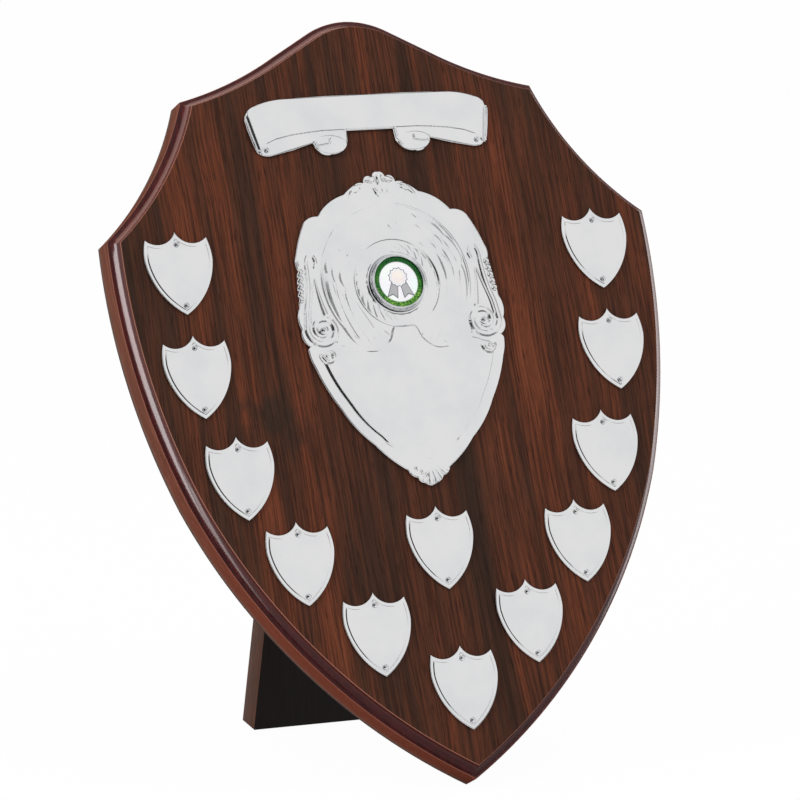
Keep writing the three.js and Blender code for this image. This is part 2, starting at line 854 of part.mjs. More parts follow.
function holderPieces() {
  const bore = insertRadius + seatGap;
  const outer = bore + holderWall;
  const shoulder = insertThickness + 2 * seatGap;
  const top = shoulder + holderLipThickness;
  const ring = turned(
    [
      [bore, 0],
      [outer, 0],
      [outer, shoulder],
      [(bore + outer) / 2, top],
      [bore, top - holderLip],
      [insertRadius - holderLip, shoulder + holderLip],
      [insertRadius - holderLip, shoulder],
      [bore, shoulder],
      [bore, 0],
    ],
    ringSegments,
  );
  const holder = meshOf("centre_holder", ring, silver);
  holder.position.set(0, centreAt.y, centreTop + seatGap);
  const disc = turned(
    [
      [0, 0],
      [insertRadius, 0],
      [insertRadius, insertThickness],
      [0, insertThickness],
    ],
    ringSegments,
  );
  const insert = meshOf("centre_disc", disc, greenDisc);
  insert.position.set(0, centreAt.y, centreTop + 2 * seatGap);
  return [holder, insert];
}

function centrePiece() {
  const mesh = meshOf("centre_shield", geometryFrom(centreShieldBody()), silver);
  mesh.position.set(0, centreAt.y, seatLevel);
  return mesh;
}

// A round bar along X, with its middle at zero.
const crossBar = (radius, length) =>
  new THREE.CylinderGeometry(radius, radius, length, roundSides).rotateZ(Math.PI / 2);

// One hinge leaf, flat in X and Y below the axis, with its knuckles round the axis. The leaf lies
// at the given side of the axis: -1 towards the board's back, 1 towards the strut.
const knuckleCount = 5;
function hingeLeaf(side, ownsEven) {
  const knuckleLength = hingeLength / knuckleCount;
  const clear = hingeKnuckleRadius + turningGap;
  const depth = side * (hingeKnuckleRadius - hingeLeafThickness / 2);
  const plate = new THREE.BoxGeometry(hingeLength, hingeLeafWidth, hingeLeafThickness);
  const pieces = [plate.translate(0, -clear - hingeLeafWidth / 2, depth)];
  for (let i = 0; i < knuckleCount; i++) {
    if ((i % 2 === 0) !== ownsEven) continue;
    const x = (i + 1 / 2) * knuckleLength - hingeLength / 2;
    const length = knuckleLength - turningGap;
    pieces.push(crossBar(hingeKnuckleRadius, length).translate(x, 0, 0));
    const tab = new THREE.BoxGeometry(length, clear + hingeLeafThickness, hingeLeafThickness);
    pieces.push(tab.translate(x, -(clear + hingeLeafThickness) / 2, depth));
  }
  const bore = crossBar(hingePinRadius + seatGap, hingeLength + 2 * cutOverrun);
  const open = side * (hingeKnuckleRadius - hingeLeafThickness);
  const screwHoles = screwXs.map((x) => {
    const cutter = screwCutter();
    if (side < 0) return solid(cutter.translate(x, -screwDrop, open));
    return solid(cutter.rotateX(Math.PI).translate(x, -screwDrop, open));
  });
  return geometryFrom(without(joined(pieces), [solid(bore), ...screwHoles]));
}

const hingePin = () => crossBar(hingePinRadius, hingeLength - turningGap);

// The strut hangs from the hinge axis: its front face lies one axis offset behind the axis, its
// foot is cut square where it meets the ground, and its top is bevelled to lie on the board's
// back when the strut is open, which is its stop.
const openAngle = boardLean + strutLean;
const axisRise = hingeHeight * Math.cos(boardLean) - axisOffset * Math.sin(boardLean);
const strutReach = (axisRise + axisOffset * Math.sin(strutLean)) / Math.cos(strutLean);

function strutPiece() {
  const front = -axisOffset;
  const rear = front - strutThickness;
  const stop = axisOffset - seatGap;
  const bevelHeight = (z) => (stop - z * Math.cos(openAngle)) / Math.sin(openAngle);
  const topHeight = bevelHeight(rear);
  const half = (y) =>
    THREE.MathUtils.mapLinear(y, -strutReach, 0, strutFootWidth / 2, strutTopWidth / 2);
  const corners = [
    [-strutReach, front],
    [-strutReach, rear],
    [topHeight, rear],
    [bevelHeight(front), front],
  ];
  const rings = [-1, 1].map((side) =>
    corners.map(([y, z]) => new THREE.Vector3(side * half(y), y, z)),
  );
  const board = solid(ringedGeometry(rings, [[0, 1, 2], [0, 2, 3]]));
  const holes = screwXs.map((x) =>
    solid(screwCutter().translate(x, -screwDrop, -(hingeKnuckleRadius - hingeLeafThickness))),
  );
  return meshOf("strut", geometryFrom(without(board, holes)), darkBoard);
}

const plaque = new THREE.Group();
plaque.rotation.x = Math.PI / 2 - boardLean;
plaque.add(...boardPieces(), ...platePieces(), ...pinPieces());
plaque.add(scrollPiece(), centrePiece(), ...holderPieces());

const hingeOnBoard = new THREE.Group();
hingeOnBoard.position.set(0, hingeHeight, -axisOffset);
hingeOnBoard.add(meshOf("hinge_leaf_board", hingeLeaf(1, true), brass));
hingeOnBoard.add(meshOf("hinge_pin", hingePin(), brass));
screwXs.forEach((x, i) => {
  const screw = meshOf(`board_screw_${i + 1}`, screwGeometry().rotateX(Math.PI), brass);
  screw.position.set(x, -screwDrop, hingeKnuckleRadius - hingeLeafThickness);
  hingeOnBoard.add(screw);
});
plaque.add(hingeOnBoard);

const strut = new THREE.Group();
strut.rotation.x = Math.PI / 2 + strutLean;
strut.position.set(
  0,
  hingeHeight * Math.sin(boardLean) + axisOffset * Math.cos(boardLean),
  axisRise,
);
strut.add(strutPiece(), meshOf("hinge_leaf_strut", hingeLeaf(-1, false), brass));
screwXs.forEach((x, i) => {
  const screw = meshOf(`strut_screw_${i + 1}`, screwGeometry(), brass);
  screw.position.set(x, -screwDrop, -(hingeKnuckleRadius - hingeLeafThickness));
  strut.add(screw);
});

// The whole part stands with its ground plane at zero and its footprint about the origin.
const standing = new THREE.Group();
standing.add(plaque, strut);
const reach = new THREE.Box3().setFromObject(standing, true);
standing.position.set(0, -(reach.min.y + reach.max.y) / 2, -reach.min.z);

const shield = new THREE.Group();
shield.add(standing);
export default shield;
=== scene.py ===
"""The looks of a perpetual award shield: woodwork, pressed plates, disc, strut and hinge.

Lengths are in millimetres where nothing else is said.
"""

import logging
import math
from dataclasses import dataclass, field
from enum import Enum
from typing import Callable, Sequence

import bmesh
import bpy
import numpy as np
from mathutils import Matrix, Vector


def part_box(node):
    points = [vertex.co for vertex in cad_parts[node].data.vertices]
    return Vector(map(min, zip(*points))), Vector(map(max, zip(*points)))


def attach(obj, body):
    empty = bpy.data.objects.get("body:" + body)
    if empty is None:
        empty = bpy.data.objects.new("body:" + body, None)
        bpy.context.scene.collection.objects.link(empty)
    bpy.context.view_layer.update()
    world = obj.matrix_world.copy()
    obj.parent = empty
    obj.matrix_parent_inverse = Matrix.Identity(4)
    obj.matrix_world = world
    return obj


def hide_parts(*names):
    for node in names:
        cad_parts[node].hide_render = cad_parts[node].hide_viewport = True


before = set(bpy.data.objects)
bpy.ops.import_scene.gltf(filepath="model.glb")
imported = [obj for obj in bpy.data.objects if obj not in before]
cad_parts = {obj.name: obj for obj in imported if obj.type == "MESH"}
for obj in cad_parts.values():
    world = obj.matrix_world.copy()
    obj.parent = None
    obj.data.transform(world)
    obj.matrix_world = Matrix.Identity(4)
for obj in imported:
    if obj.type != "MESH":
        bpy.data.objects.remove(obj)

log = logging.getLogger("award_shield")

MM = 0.001
FULL_TURN = 2 * math.pi
# Lengths below which points count as one, or as lying on the middle line.
MERGED = 1e-4
ON_MIDDLE_LINE = 1e-6
# Keeps a division by a squared length from dividing by zero.
TINY = 1e-9
# Rounds of the search for a moved corner, and the turn in radians that counts as none there.
CORNER_ROUNDS = 6
NO_TURN = 0.02
# Depth and width of a leaf's vein, as shares of the leaf's height and half width.
VEIN_DEPTH = 0.26
VEIN_WIDTH = 0.16

Triple = tuple[float, float, float]
Row = Triple
Point = tuple[float, float]
Colour = tuple[float, float, float, float]
Path = Sequence[Vector]
Mesh = bmesh.types.BMesh
Material = bpy.types.Material
Socket = bpy.types.NodeSocket
Grid = np.ndarray
Sheet = Callable[[Grid, Grid], tuple[Grid, Grid, Grid]]
Heights = Callable[[Grid, Grid, Grid], Grid]


class Body(Enum):
    """The two bodies that pieces ride on."""

    PLAQUE = "plaque"
    STRUT = "strut"


class Slot(Enum):
    """The record's material slots."""

    SILVER = "silver_plate"
    PIN = "pin_metal"
    HOLDER = "holder_ring"
    DISC = "disc_print"
    MOULDING = "moulding_wood"
    VENEER = "face_veneer"
    BACK = "back_wood"
    BRASS = "hinge_brass"


class Crown(Enum):
    """How a roll of relief is rounded across."""

    ROUND = "round"
    SOFT = "soft"
    LEAF = "leaf"


def shade(red: int, green: int, blue: int) -> Colour:
    """Turns a screen colour of 0 to 255 into the linear colour that a shader takes.

    Args:
        red: Red as it shows on a screen.
        green: Green as it shows on a screen.
        blue: Blue as it shows on a screen.

    Returns:
        The linear colour with full opacity.
    """
    linear = [
        c / 255 / 12.92 if c / 255 <= 0.04045 else ((c / 255 + 0.055) / 1.055) ** 2.4
        for c in (red, green, blue)
    ]
    return (*linear, 1.0)


@dataclass(frozen=True)
class Fit:
    """Sizes that several sub-assemblies share.

    Attributes:
        lean: How far the board leans back from upright, in radians.
        board_height: The board's height along its face.
        board_half_width: Half the board's width.
        thickness: The board's thickness with its veneers.
        veneer: Thickness of each veneer.
        seat_gap: The gap between a plate and what it lies on.
        centre_share: Height of the holder's middle as a share of the board's height.
        centre_above: How far the centre shield reaches above the holder's middle.
        centre_below: How far it reaches below it.
    """

    lean: float = math.radians(24.4)
    board_height: float = 365.0
    board_half_width: float = 136.3
    thickness: float = 18.0
    veneer: float = 0.6
    seat_gap: float = 0.3
    centre_share: float = 0.6411
    centre_above: float = 54.5
    centre_below: float = 97.5

    @property
    def seat(self) -> float:
        """Height of the underside of a plate over the board's back face."""
        return self.thickness + self.seat_gap

    @property
    def centre(self) -> Vector:
        """The holder's middle on the board."""
        return Vector((0, self.board_height * self.centre_share, 0))

    def board(self) -> Matrix:
        """Places the board's own frame: X right, Y up the board and Z out of its face.

        Returns:
            The matrix from board millimetres to the part's frame in metres.
        """
        low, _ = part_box("back_veneer")
        tip = Vector((0, low.y + self.veneer * MM * math.cos(self.lean), low.z))
        turn = Matrix.Rotation(math.pi / 2 - self.lean, 4, "X")
        return Matrix.Translation(tip) @ turn @ Matrix.Scale(MM, 4)


FIT = Fit()
BOARD = FIT.board()


# Outlines and paths.


@dataclass(frozen=True)
class Stretch:
    """One arc or straight stretch of an outline that runs anticlockwise.

    Attributes:
        start: Its first point.
        end: Its last point.
        bulge: Rise of the arc as a share of its chord, outwards where positive.
    """

    start: Vector
    end: Vector
    bulge: float

    def circle(self) -> tuple[Vector, float]:
        """Finds the circle that the arc lies on.

        Returns:
            Its middle, and its radius, which is negative where the arc is hollow.
        """
        chord = self.end - self.start
        rise = self.bulge * chord.length
        radius = (chord.length_squared / 4 + rise * rise) / (2 * rise)
        outward = Vector((chord.y, -chord.x)).normalized()
        return (self.start + self.end) / 2 + outward * (rise - radius), radius

    def inside(self, point: Vector) -> tuple[float, Vector]:
        """Measures how far inside this stretch a point lies.

        Args:
            point: The point.

        Returns:
            The distance, and the direction inwards there.
        """
        if self.bulge == 0:
            chord = (self.end - self.start).normalized()
            inward = Vector((-chord.y, chord.x))
            return (point - self.start).dot(inward), inward
        middle, radius = self.circle()
        sign = math.copysign(1, radius)
        return radius - sign * (point - middle).length, (middle - point).normalized() * sign

    def moved(self, start: Vector, end: Vector, distance: float) -> "Stretch":
        """Gives this stretch moved inwards.

        Args:
            start: The moved stretch's first point.
            end: Its last point.
            distance: How far it has moved.

        Returns:
            The moved stretch.
        """
        if self.bulge == 0:
            return Stretch(start, end, 0)
        radius = self.circle()[1] - distance
        half_turn = math.asin(max(-1.0, min(1.0, (end - start).length / (2 * radius))))
        return Stretch(start, end, math.tan(half_turn / 2) / 2)

    def points(self, step: float, like: "Stretch") -> list[Vector]:
        """Gives the stretch's points without the last.

        Args:
            step: The largest turn between two points, in radians.
            like: The stretch whose turn says how many points there are.

        Returns:
            The points, of which a straight stretch has only the first.
        """
        if self.bulge == 0:
            return [self.start.copy()]
        pieces = max(2, math.ceil(abs(4 * math.atan(2 * like.bulge)) / step))
        middle, spoke = self.circle()[0], self.start - self.circle()[0]
        turn = 4 * math.atan(2 * self.bulge) / pieces
        return [middle + Matrix.Rotation(turn * i, 2) @ spoke for i in range(pieces)]


@dataclass(frozen=True)
class Outline:
    """A closed outline whose left half mirrors its right half.

    Attributes:
        rows: Points from the lowest to the highest, each with its share of the half width, its
            share of the height and the bulge of the arc to the next point.
        half_width: Half the width.
        above: The reach above the zero level.
        below: The reach below the zero level.
        step: The largest turn between two points of an arc, in radians.
    """

    rows: tuple[Row, ...]
    half_width: float
    above: float
    below: float = 0.0
    step: float = math.radians(3)

    def place(self, row: Sequence[float]) -> Vector:
        """Turns the shares of a row into a point."""
        reach = self.above if row[1] > 0 else self.below
        return Vector((row[0] * self.half_width, row[1] * reach))

    def stretches(self) -> list[Stretch]:
        """Gives the arcs and straight stretches of the right half, from the bottom up."""
        ends = [self.place(row) for row in self.rows]
        return [Stretch(a, b, row[2]) for row, a, b in zip(self.rows, ends, ends[1:])]

    def right_half(self, inset: float = 0.0) -> list[Vector]:
        """Gives the right half from the lowest to the highest point.

        Args:
            inset: How far inside the outline the points lie, with its corners kept.

        Returns:
            The points, as many at every inset.
        """
        parts = self.stretches()
        corners = [moved_corner(parts[0].start, None, parts[0], inset)]
        corners += [moved_corner(b.start, a, b, inset) for a, b in zip(parts, parts[1:])]
        corners.append(moved_corner(parts[-1].end, None, parts[-1], inset))
        half: list[Vector] = []
        for part, a, b in zip(parts, corners, corners[1:]):
            half += part.moved(a, b, inset).points(self.step, part)
        return half + [corners[-1]]

    def closed(self, inset: float = 0.0) -> list[Vector]:
        """Gives the whole outline, or one inside it, anticlockwise from its lowest point."""
        right = self.right_half(inset)
        return right + mirrored([p for p in reversed(right) if abs(p.x) > ON_MIDDLE_LINE])

    def rings(self, levels: Sequence[Point]) -> list[tuple[list[Vector], float]]:
        """Gives the outline and the height at each level, which has an inset and a height."""
        return [(self.closed(inset), height) for inset, height in levels]


def moved_corner(corner: Vector, before: Stretch | None, after: Stretch, inset: float) -> Vector:
    """Finds where two stretches meet once both have moved inwards.

    Args:
        corner: Where they meet now.
        before: The first stretch, or none where the corner lies on the middle line.
        after: The second stretch.
        inset: How far both move inwards.

    Returns:
        The moved corner.
    """
    point = corner.copy()
    for _ in range(CORNER_ROUNDS):
        depth, inward = after.inside(point)
        missing = inset - depth
        if before is None:
            point.y += missing / inward.y
            continue
        other_depth, other_inward = before.inside(point)
        other_missing = inset - other_depth
        turn = other_inward.cross(inward)
        if abs(turn) < NO_TURN:
            point += (inward + other_inward).normalized() * (missing + other_missing) / 2
        else:
            point.x += (other_missing * inward.y - missing * other_inward.y) / turn
            point.y += (missing * other_inward.x - other_missing * inward.x) / turn
    return point


def resampled(path: Path, count: int, closed: bool) -> Grid:
    """Spaces points evenly along a path.

    Args:
        path: The path's points.
        count: How many even steps to take.
        closed: Whether the path returns to its first point.

    Returns:
        An array of count + 1 points.
    """
    points = np.array([(p[0], p[1]) for p in path])
    if closed:
        points = np.vstack([points, points[:1]])
    run = np.concatenate([[0], np.cumsum(np.hypot(*np.diff(points, axis=0).T))])
    wanted = np.linspace(0, run[-1], count + 1)
    return np.column_stack([np.interp(wanted, run, points[:, k]) for k in (0, 1)])


def polar(radius: float, angle: float) -> Vector:
    """Gives a point by its distance and direction."""
    return Vector((radius * math.cos(angle), radius * math.sin(angle)))


def arc_path(centre: Vector, radius: float, start: float, end: float, count: int) -> list[Vector]:
    """Gives evenly spaced points on a round arc between two directions in degrees."""
    turns = [math.radians(start + (end - start) * i / count) for i in range(count + 1)]
    return [centre + polar(radius, turn) for turn in turns]


def spiral_path(eye: Vector, inner: float, outer: float, turns: float, count: int) -> list[Vector]:
    """Gives a spiral that unwinds anticlockwise and ends straight to the right of its eye."""
    shares = [i / count for i in range(count + 1)]
    return [eye + polar(inner + (outer - inner) * s, FULL_TURN * turns * (s - 1)) for s in shares]


def path_of(*points: Point) -> list[Vector]:
    """Turns points into a path."""
    return [Vector(point) for point in points]


def dot(place: Vector) -> list[Vector]:
    """Gives a path so short that a roll along it is a bead."""
    return [place, place + Vector((0.05, 0.05))]


def mirrored(path: Path) -> list[Vector]:
    """Gives a path's mirror image across the middle line."""
    return [Vector((-p.x, p.y)) for p in path]


# Meshes.


def disc_face(bm: Mesh, outline: Path, level: float) -> bmesh.types.BMFace:
    """Adds one flat face with the given outline, and numbers its corners.

    Args:
        bm: The mesh to add to.
        outline: The outline, anticlockwise.
        level: Its height.

    Returns:
        The face.
    """
    place = bm.verts.layers.int["place"]
    made = bmesh.ops.create_circle(bm, cap_ends=True, segments=len(outline), radius=1)
    for number, (vert, point) in enumerate(zip(made["verts"], outline)):
        vert.co = Vector((point.x, point.y, level))
        vert[place] = number
    return made["verts"][0].link_faces[0]


def moulded(bm: Mesh, rings: Sequence[tuple[Path, float]]) -> None:
    """Builds a closed solid that passes through the given outlines.

    Args:
        bm: The mesh to add to.
        rings: Each level's outline, anticlockwise, and its height, from the back to the front.
    """
    place = bm.verts.layers.int.get("place") or bm.verts.layers.int.new("place")
    bottom = face = disc_face(bm, *rings[0])
    for outline, level in rings[1:]:
        made = bmesh.ops.extrude_face_region(bm, geom=[face])
        if face is not bottom:
            bmesh.ops.delete(bm, geom=[face], context="FACES_ONLY")
        face = next(g for g in made["geom"] if isinstance(g, bmesh.types.BMFace))
        for vert in face.verts:
            point = outline[vert[place]]
            vert.co = Vector((point.x, point.y, level))
    bmesh.ops.recalc_face_normals(bm, faces=bm.faces[:])


def turned(bm: Mesh, profile: Sequence[Point], steps: int, closed: bool) -> None:
    """Spins a profile of radius and height about Z.

    Args:
        bm: The mesh to add to.
        profile: Points of radius and height.
        steps: How many steps make the full turn.
        closed: Whether the profile's last point joins its first.
    """
    verts = [bm.verts.new((r, 0, z)) for r, z in profile]
    pairs = list(zip(verts, verts[1:])) + ([(verts[-1], verts[0])] if closed else [])
    edges = [bm.edges.new(pair) for pair in pairs]
    bmesh.ops.spin(
        bm, geom=verts + edges, steps=steps, angle=FULL_TURN, use_merge=True,
        axis=(0, 0, 1), cent=(0, 0, 0),
    )
    bmesh.ops.remove_doubles(bm, verts=bm.verts[:], dist=MERGED)
    bmesh.ops.recalc_face_normals(bm, faces=bm.faces[:])


def rounded_block(bm: Mesh, low: Vector, high: Vector, radius: float, segments: int) -> None:
    """Adds a block with rounded edges.

    Args:
        bm: The mesh to add to.
        low: Its lowest corner.
        high: Its highest corner.
        radius: The radius of its edges.
        segments: How many facets each rounded edge has.
    """
    made = bmesh.ops.create_cube(bm, size=1)["verts"]
    bmesh.ops.scale(bm, verts=made, vec=high - low)
    bmesh.ops.translate(bm, verts=made, vec=(low + high) / 2)
    round_edges(bm, list({e for v in made for e in v.link_edges}), radius, segments)


def round_edges(
    bm: Mesh, edges: Sequence[bmesh.types.BMEdge], radius: float, segments: int
) -> None:
    """Rounds edges by a radius, with so many facets."""
    bmesh.ops.bevel(
        bm, geom=list(edges), offset=radius, segments=segments, affect="EDGES", profile=0.5,
        material=-1,
    )


def linked(bm: Mesh, name: str, materials: Sequence[Material]) -> bpy.types.Object:
    """Turns a mesh into an object of the scene.

    Args:
        bm: The mesh, which is freed.
        name: The object's name.
        materials: Its materials, by face index.

    Returns:
        The object.
    """
    mesh = bpy.data.meshes.new(name)
    bm.to_mesh(mesh)
    bm.free()
    for material in materials:
        mesh.materials.append(material)
    made = bpy.data.objects.new(name, mesh)
    bpy.context.scene.collection.objects.link(made)
    return made


def finished(
    bm: Mesh, name: str, materials: Sequence[Material], place: Matrix, body: Body,
    replaces: Sequence[str] = (), crease: float = 32.0,
) -> None:
    """Turns a mesh in millimetres into a piece of the scene that rides on a body.

    Args:
        bm: The mesh, which is freed.
        name: The piece's name.
        materials: Its materials, by face index.
        place: The matrix from the mesh's millimetres to the part's frame.
        body: The body that it rides on.
        replaces: The nodes that it stands for.
        crease: The angle in degrees past which an edge stays sharp.
    """
    bm.transform(place)
    bm.normal_update()
    piece = linked(bm, name, materials)
    piece.data.shade_smooth()
    piece.data.set_sharp_from_angle(angle=math.radians(crease))
    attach(piece, body.value)
    if replaces:
        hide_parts(*replaces)
    log.info("%s: %d faces, on %s", name, len(piece.data.polygons), body.value)


# Relief of the pressed plates.


def from_line(x: Grid, y: Grid, along: Vector) -> tuple[Grid, Grid]:
    """Measures points against a straight line that starts at zero.

    Args:
        x: The points' places to the right.
        y: The points' places upwards.
        along: The line's end.

    Returns:
        How far along the line each point's nearest place lies, as a share of the line, and the
        distance to it.
    """
    share = np.clip((x * along.x + y * along.y) / max(along.length_squared, TINY), 0, 1)
    return share, np.hypot(x - share * along.x, y - share * along.y)


@dataclass
class Relief:
    """Raised forms over the plane of a pressed plate, at a set of points.

    Attributes:
        x: The points' places to the right.
        y: The points' places upwards.
        base: Height of the plateaus, which add up.
        crest: Height of the rolls, of which the highest shows.
    """

    x: Grid
    y: Grid
    base: Grid = field(init=False)
    crest: Grid = field(init=False)

    def __post_init__(self) -> None:
        """Starts with a flat plate."""
        self.base = np.zeros_like(self.x)
        self.crest = np.zeros_like(self.x)

    @staticmethod
    def eased(value: Grid) -> Grid:
        """Gives 0 below 0, 1 above 1 and a smooth rise between them."""
        t = np.clip(value, 0, 1)
        return t * t * (3 - 2 * t)

    @staticmethod
    def across(q: Grid, crown: Crown) -> Grid:
        """Rounds a roll across.

        Args:
            q: Distance from its middle line as a share of its half width.
            crown: How it is rounded.

        Returns:
            The height as a share of the height of its middle line.
        """
        inside = np.clip(1 - q * q, 0, 1)
        if crown is Crown.SOFT:
            return inside * inside
        if crown is Crown.LEAF:
            return inside * (1 - VEIN_DEPTH * np.exp(-((q / VEIN_WIDTH) ** 2)))
        return np.sqrt(inside)

    def roll(
        self, path: Path, radii: Sequence[float], rise: float, crown: Crown = Crown.ROUND
    ) -> None:
        """Adds a roll along a path.

        Args:
            path: The roll's middle line.
            radii: Its half width at each point, or one for all.
            rise: Its height as a share of its half width.
            crown: How it is rounded across.
        """
        widths = list(radii) if len(radii) > 1 else [radii[0]] * len(path)
        for a, b, ra, rb in zip(path, path[1:], widths, widths[1:]):
            reach = max(ra, rb)
            near = (
                (self.x > min(a.x, b.x) - reach)
                & (self.x < max(a.x, b.x) + reach)
                & (self.y > min(a.y, b.y) - reach)
                & (self.y < max(a.y, b.y) + reach)
            )
            share, away = from_line(self.x[near] - a.x, self.y[near] - a.y, b - a)
            width = ra + (rb - ra) * share
            height = width * rise * self.across(away / width, crown)
            self.crest[near] = np.maximum(self.crest[near], height)

    def both_sides(
        self, path: Path, radii: Sequence[float], rise: float, crown: Crown = Crown.ROUND
    ) -> None:
        """Adds a roll and its mirror image; the arguments are those of roll."""
        self.roll(path, radii, rise, crown)
        self.roll(mirrored(path), radii, rise, crown)

    def distance_inside(self, outline: Path) -> Grid:
        """Measures how far each point lies inside a closed outline.

        Args:
            outline: The outline's points.

        Returns:
            The distances, which are negative outside.
        """
        nearest = np.full_like(self.x, np.inf)
        inside = np.zeros(self.x.shape, bool)
        for a, b in zip(outline, list(outline[1:]) + [outline[0]]):
            nearest = np.minimum(nearest, from_line(self.x - a.x, self.y - a.y, b - a)[1])
            if a.y != b.y:
                crosses = (a.y > self.y) != (b.y > self.y)
                inside ^= crosses & (self.x < a.x + (self.y - a.y) * (b.x - a.x) / (b.y - a.y))
        return np.where(inside, nearest, -nearest)

    def plateau(self, inside: Grid, rise: float, slope: float | Grid) -> None:
        """Raises the points inside a boundary by a step that is slope wide."""
        self.base += rise * self.eased(inside / slope + 0.5)


# Finishes.


class Nodes:
    """A node tree that is put together node by node."""

    def __init__(self, tree: bpy.types.NodeTree) -> None:
        """Starts with the nodes that the tree has."""
        self.tree = tree

    def put(self, node: bpy.types.Node, socket: str | int, value: object) -> None:
        """Joins a socket to another socket, or sets its value.

        Args:
            node: The node that has the socket.
            socket: The socket's name or number.
            value: The socket to take the value from, or the value itself.
        """
        if isinstance(value, Socket):
            self.tree.links.new(value, node.inputs[socket])
        else:
            node.inputs[socket].default_value = value

    def node(
        self, kind: str, inputs: dict[str | int, object], **settings: object
    ) -> bpy.types.Node:
        """Adds a node.

        Args:
            kind: The node's type.
            inputs: Its input values or sockets.
            settings: Its own settings.

        Returns:
            The node.
        """
        made = self.tree.nodes.new(kind)
        for name, value in settings.items():
            setattr(made, name, value)
        for socket, value in inputs.items():
            self.put(made, socket, value)
        return made

    def sum(self, operation: str, a: object, b: object) -> Socket:
        """Works out one operation of arithmetic on two values or sockets."""
        return self.node("ShaderNodeMath", {0: a, 1: b}, operation=operation).outputs[0]


class Shader(Nodes):
    """A material about the principled surface."""

    def __init__(self, name: str, **surface: float | Colour) -> None:
        """Starts a material.

        Args:
            name: The material's name.
            surface: Values of the principled surface's sockets, with _ for each space.
        """
        self.material = bpy.data.materials.new(name)
        self.material.use_nodes = True
        super().__init__(self.material.node_tree)
        self.surface = self.tree.nodes["Principled BSDF"]
        self.dress(**surface)

    def point(self, place: Matrix, stretch: Triple = (1, 1, 1)) -> Socket:
        """Gives each point in the millimetres of a sub-assembly's own frame.

        Args:
            place: The matrix from those millimetres to the part's frame.
            stretch: What each coordinate is then multiplied by.

        Returns:
            The socket that holds the point.
        """
        back = place.inverted()
        inputs = {
            "Vector": self.node("ShaderNodeTexCoord", {}).outputs["Object"],
            "Location": back.to_translation(),
            "Rotation": back.to_euler(),
            "Scale": back.to_scale(),
        }
        return self.vector("MULTIPLY", self.node("ShaderNodeMapping", inputs).outputs[0], stretch)

    def vector(self, operation: str, a: object, b: object) -> Socket:
        """Works out one operation on two vectors that gives a vector."""
        return self.node("ShaderNodeVectorMath", {0: a, 1: b}, operation=operation).outputs[0]

    def distance(self, point: Socket, other: Triple) -> Socket:
        """Measures how far a point lies from another."""
        inputs = {0: point, 1: other}
        return self.node("ShaderNodeVectorMath", inputs, operation="DISTANCE").outputs["Value"]

    def axis(self, point: Socket, name: str) -> Socket:
        """Gives one coordinate, X, Y or Z, of a point."""
        return self.node("ShaderNodeSeparateXYZ", {0: point}).outputs[name]

    def noise(self, point: Socket, detail: float, roughness: float = 0.55) -> Socket:
        """Gives smooth noise about one half, with one feature per unit and finer layers."""
        inputs = {"Vector": point, "Scale": 1.0, "Detail": detail, "Roughness": roughness}
        return self.node("ShaderNodeTexNoise", inputs).outputs[0]

    def grain(self, place: Matrix, stretch: Triple, detail: float) -> Socket:
        """Gives noise with so many features per millimetre of a frame's own axes."""
        return self.noise(self.point(place, stretch), detail)

    def blend(self, a: Socket, a_share: float, b: Socket, b_share: float) -> Socket:
        """Adds two values, each times its own share."""
        parts = self.sum("MULTIPLY", a, a_share), self.sum("MULTIPLY", b, b_share)
        return self.sum("ADD", *parts)

    def span(self, value: Socket, low: float, high: float, to_low: float, to_high: float) -> Socket:
        """Maps a value smoothly from one span to another, and holds it at the ends."""
        inputs = {0: value, 1: low, 2: high, 3: to_low, 4: to_high}
        return self.node("ShaderNodeMapRange", inputs, interpolation_type="SMOOTHSTEP").outputs[0]

    def ramp(self, value: Socket, stops: Sequence[tuple[float, Colour]]) -> Socket:
        """Colours a value.

        Args:
            value: The value, from 0 to 1.
            stops: Places on the ramp and their colours.

        Returns:
            The colour socket.
        """
        made = self.node("ShaderNodeValToRGB", {0: value})
        elements = made.color_ramp.elements
        while len(elements) < len(stops):
            elements.new(1.0)
        for element, (place, colour) in zip(elements, stops):
            element.position = place
            element.color = colour
        return made.outputs[0]

    def mix(self, share: object, a: object, b: object) -> Socket:
        """Mixes two colours by a share of the second."""
        return self.node("ShaderNodeMix", {0: share, 6: a, 7: b}, data_type="RGBA").outputs[2]

    def bump(self, height: Socket, strength: float, depth: float) -> None:
        """Gives the surface a fine texture, that many metres deep."""
        inputs = {"Strength": strength, "Distance": depth, "Height": height}
        self.put(self.surface, "Normal", self.node("ShaderNodeBump", inputs).outputs[0])

    def dress(self, **sockets: Socket | float | Colour) -> Material:
        """Joins sockets to those of the surface, or sets their values.

        Args:
            sockets: The sockets or values under the surface's own names, with _ for each space.

        Returns:
            The material as it is then.
        """
        for socket, value in sockets.items():
            self.put(self.surface, socket.replace("_", " "), value)
        return self.material


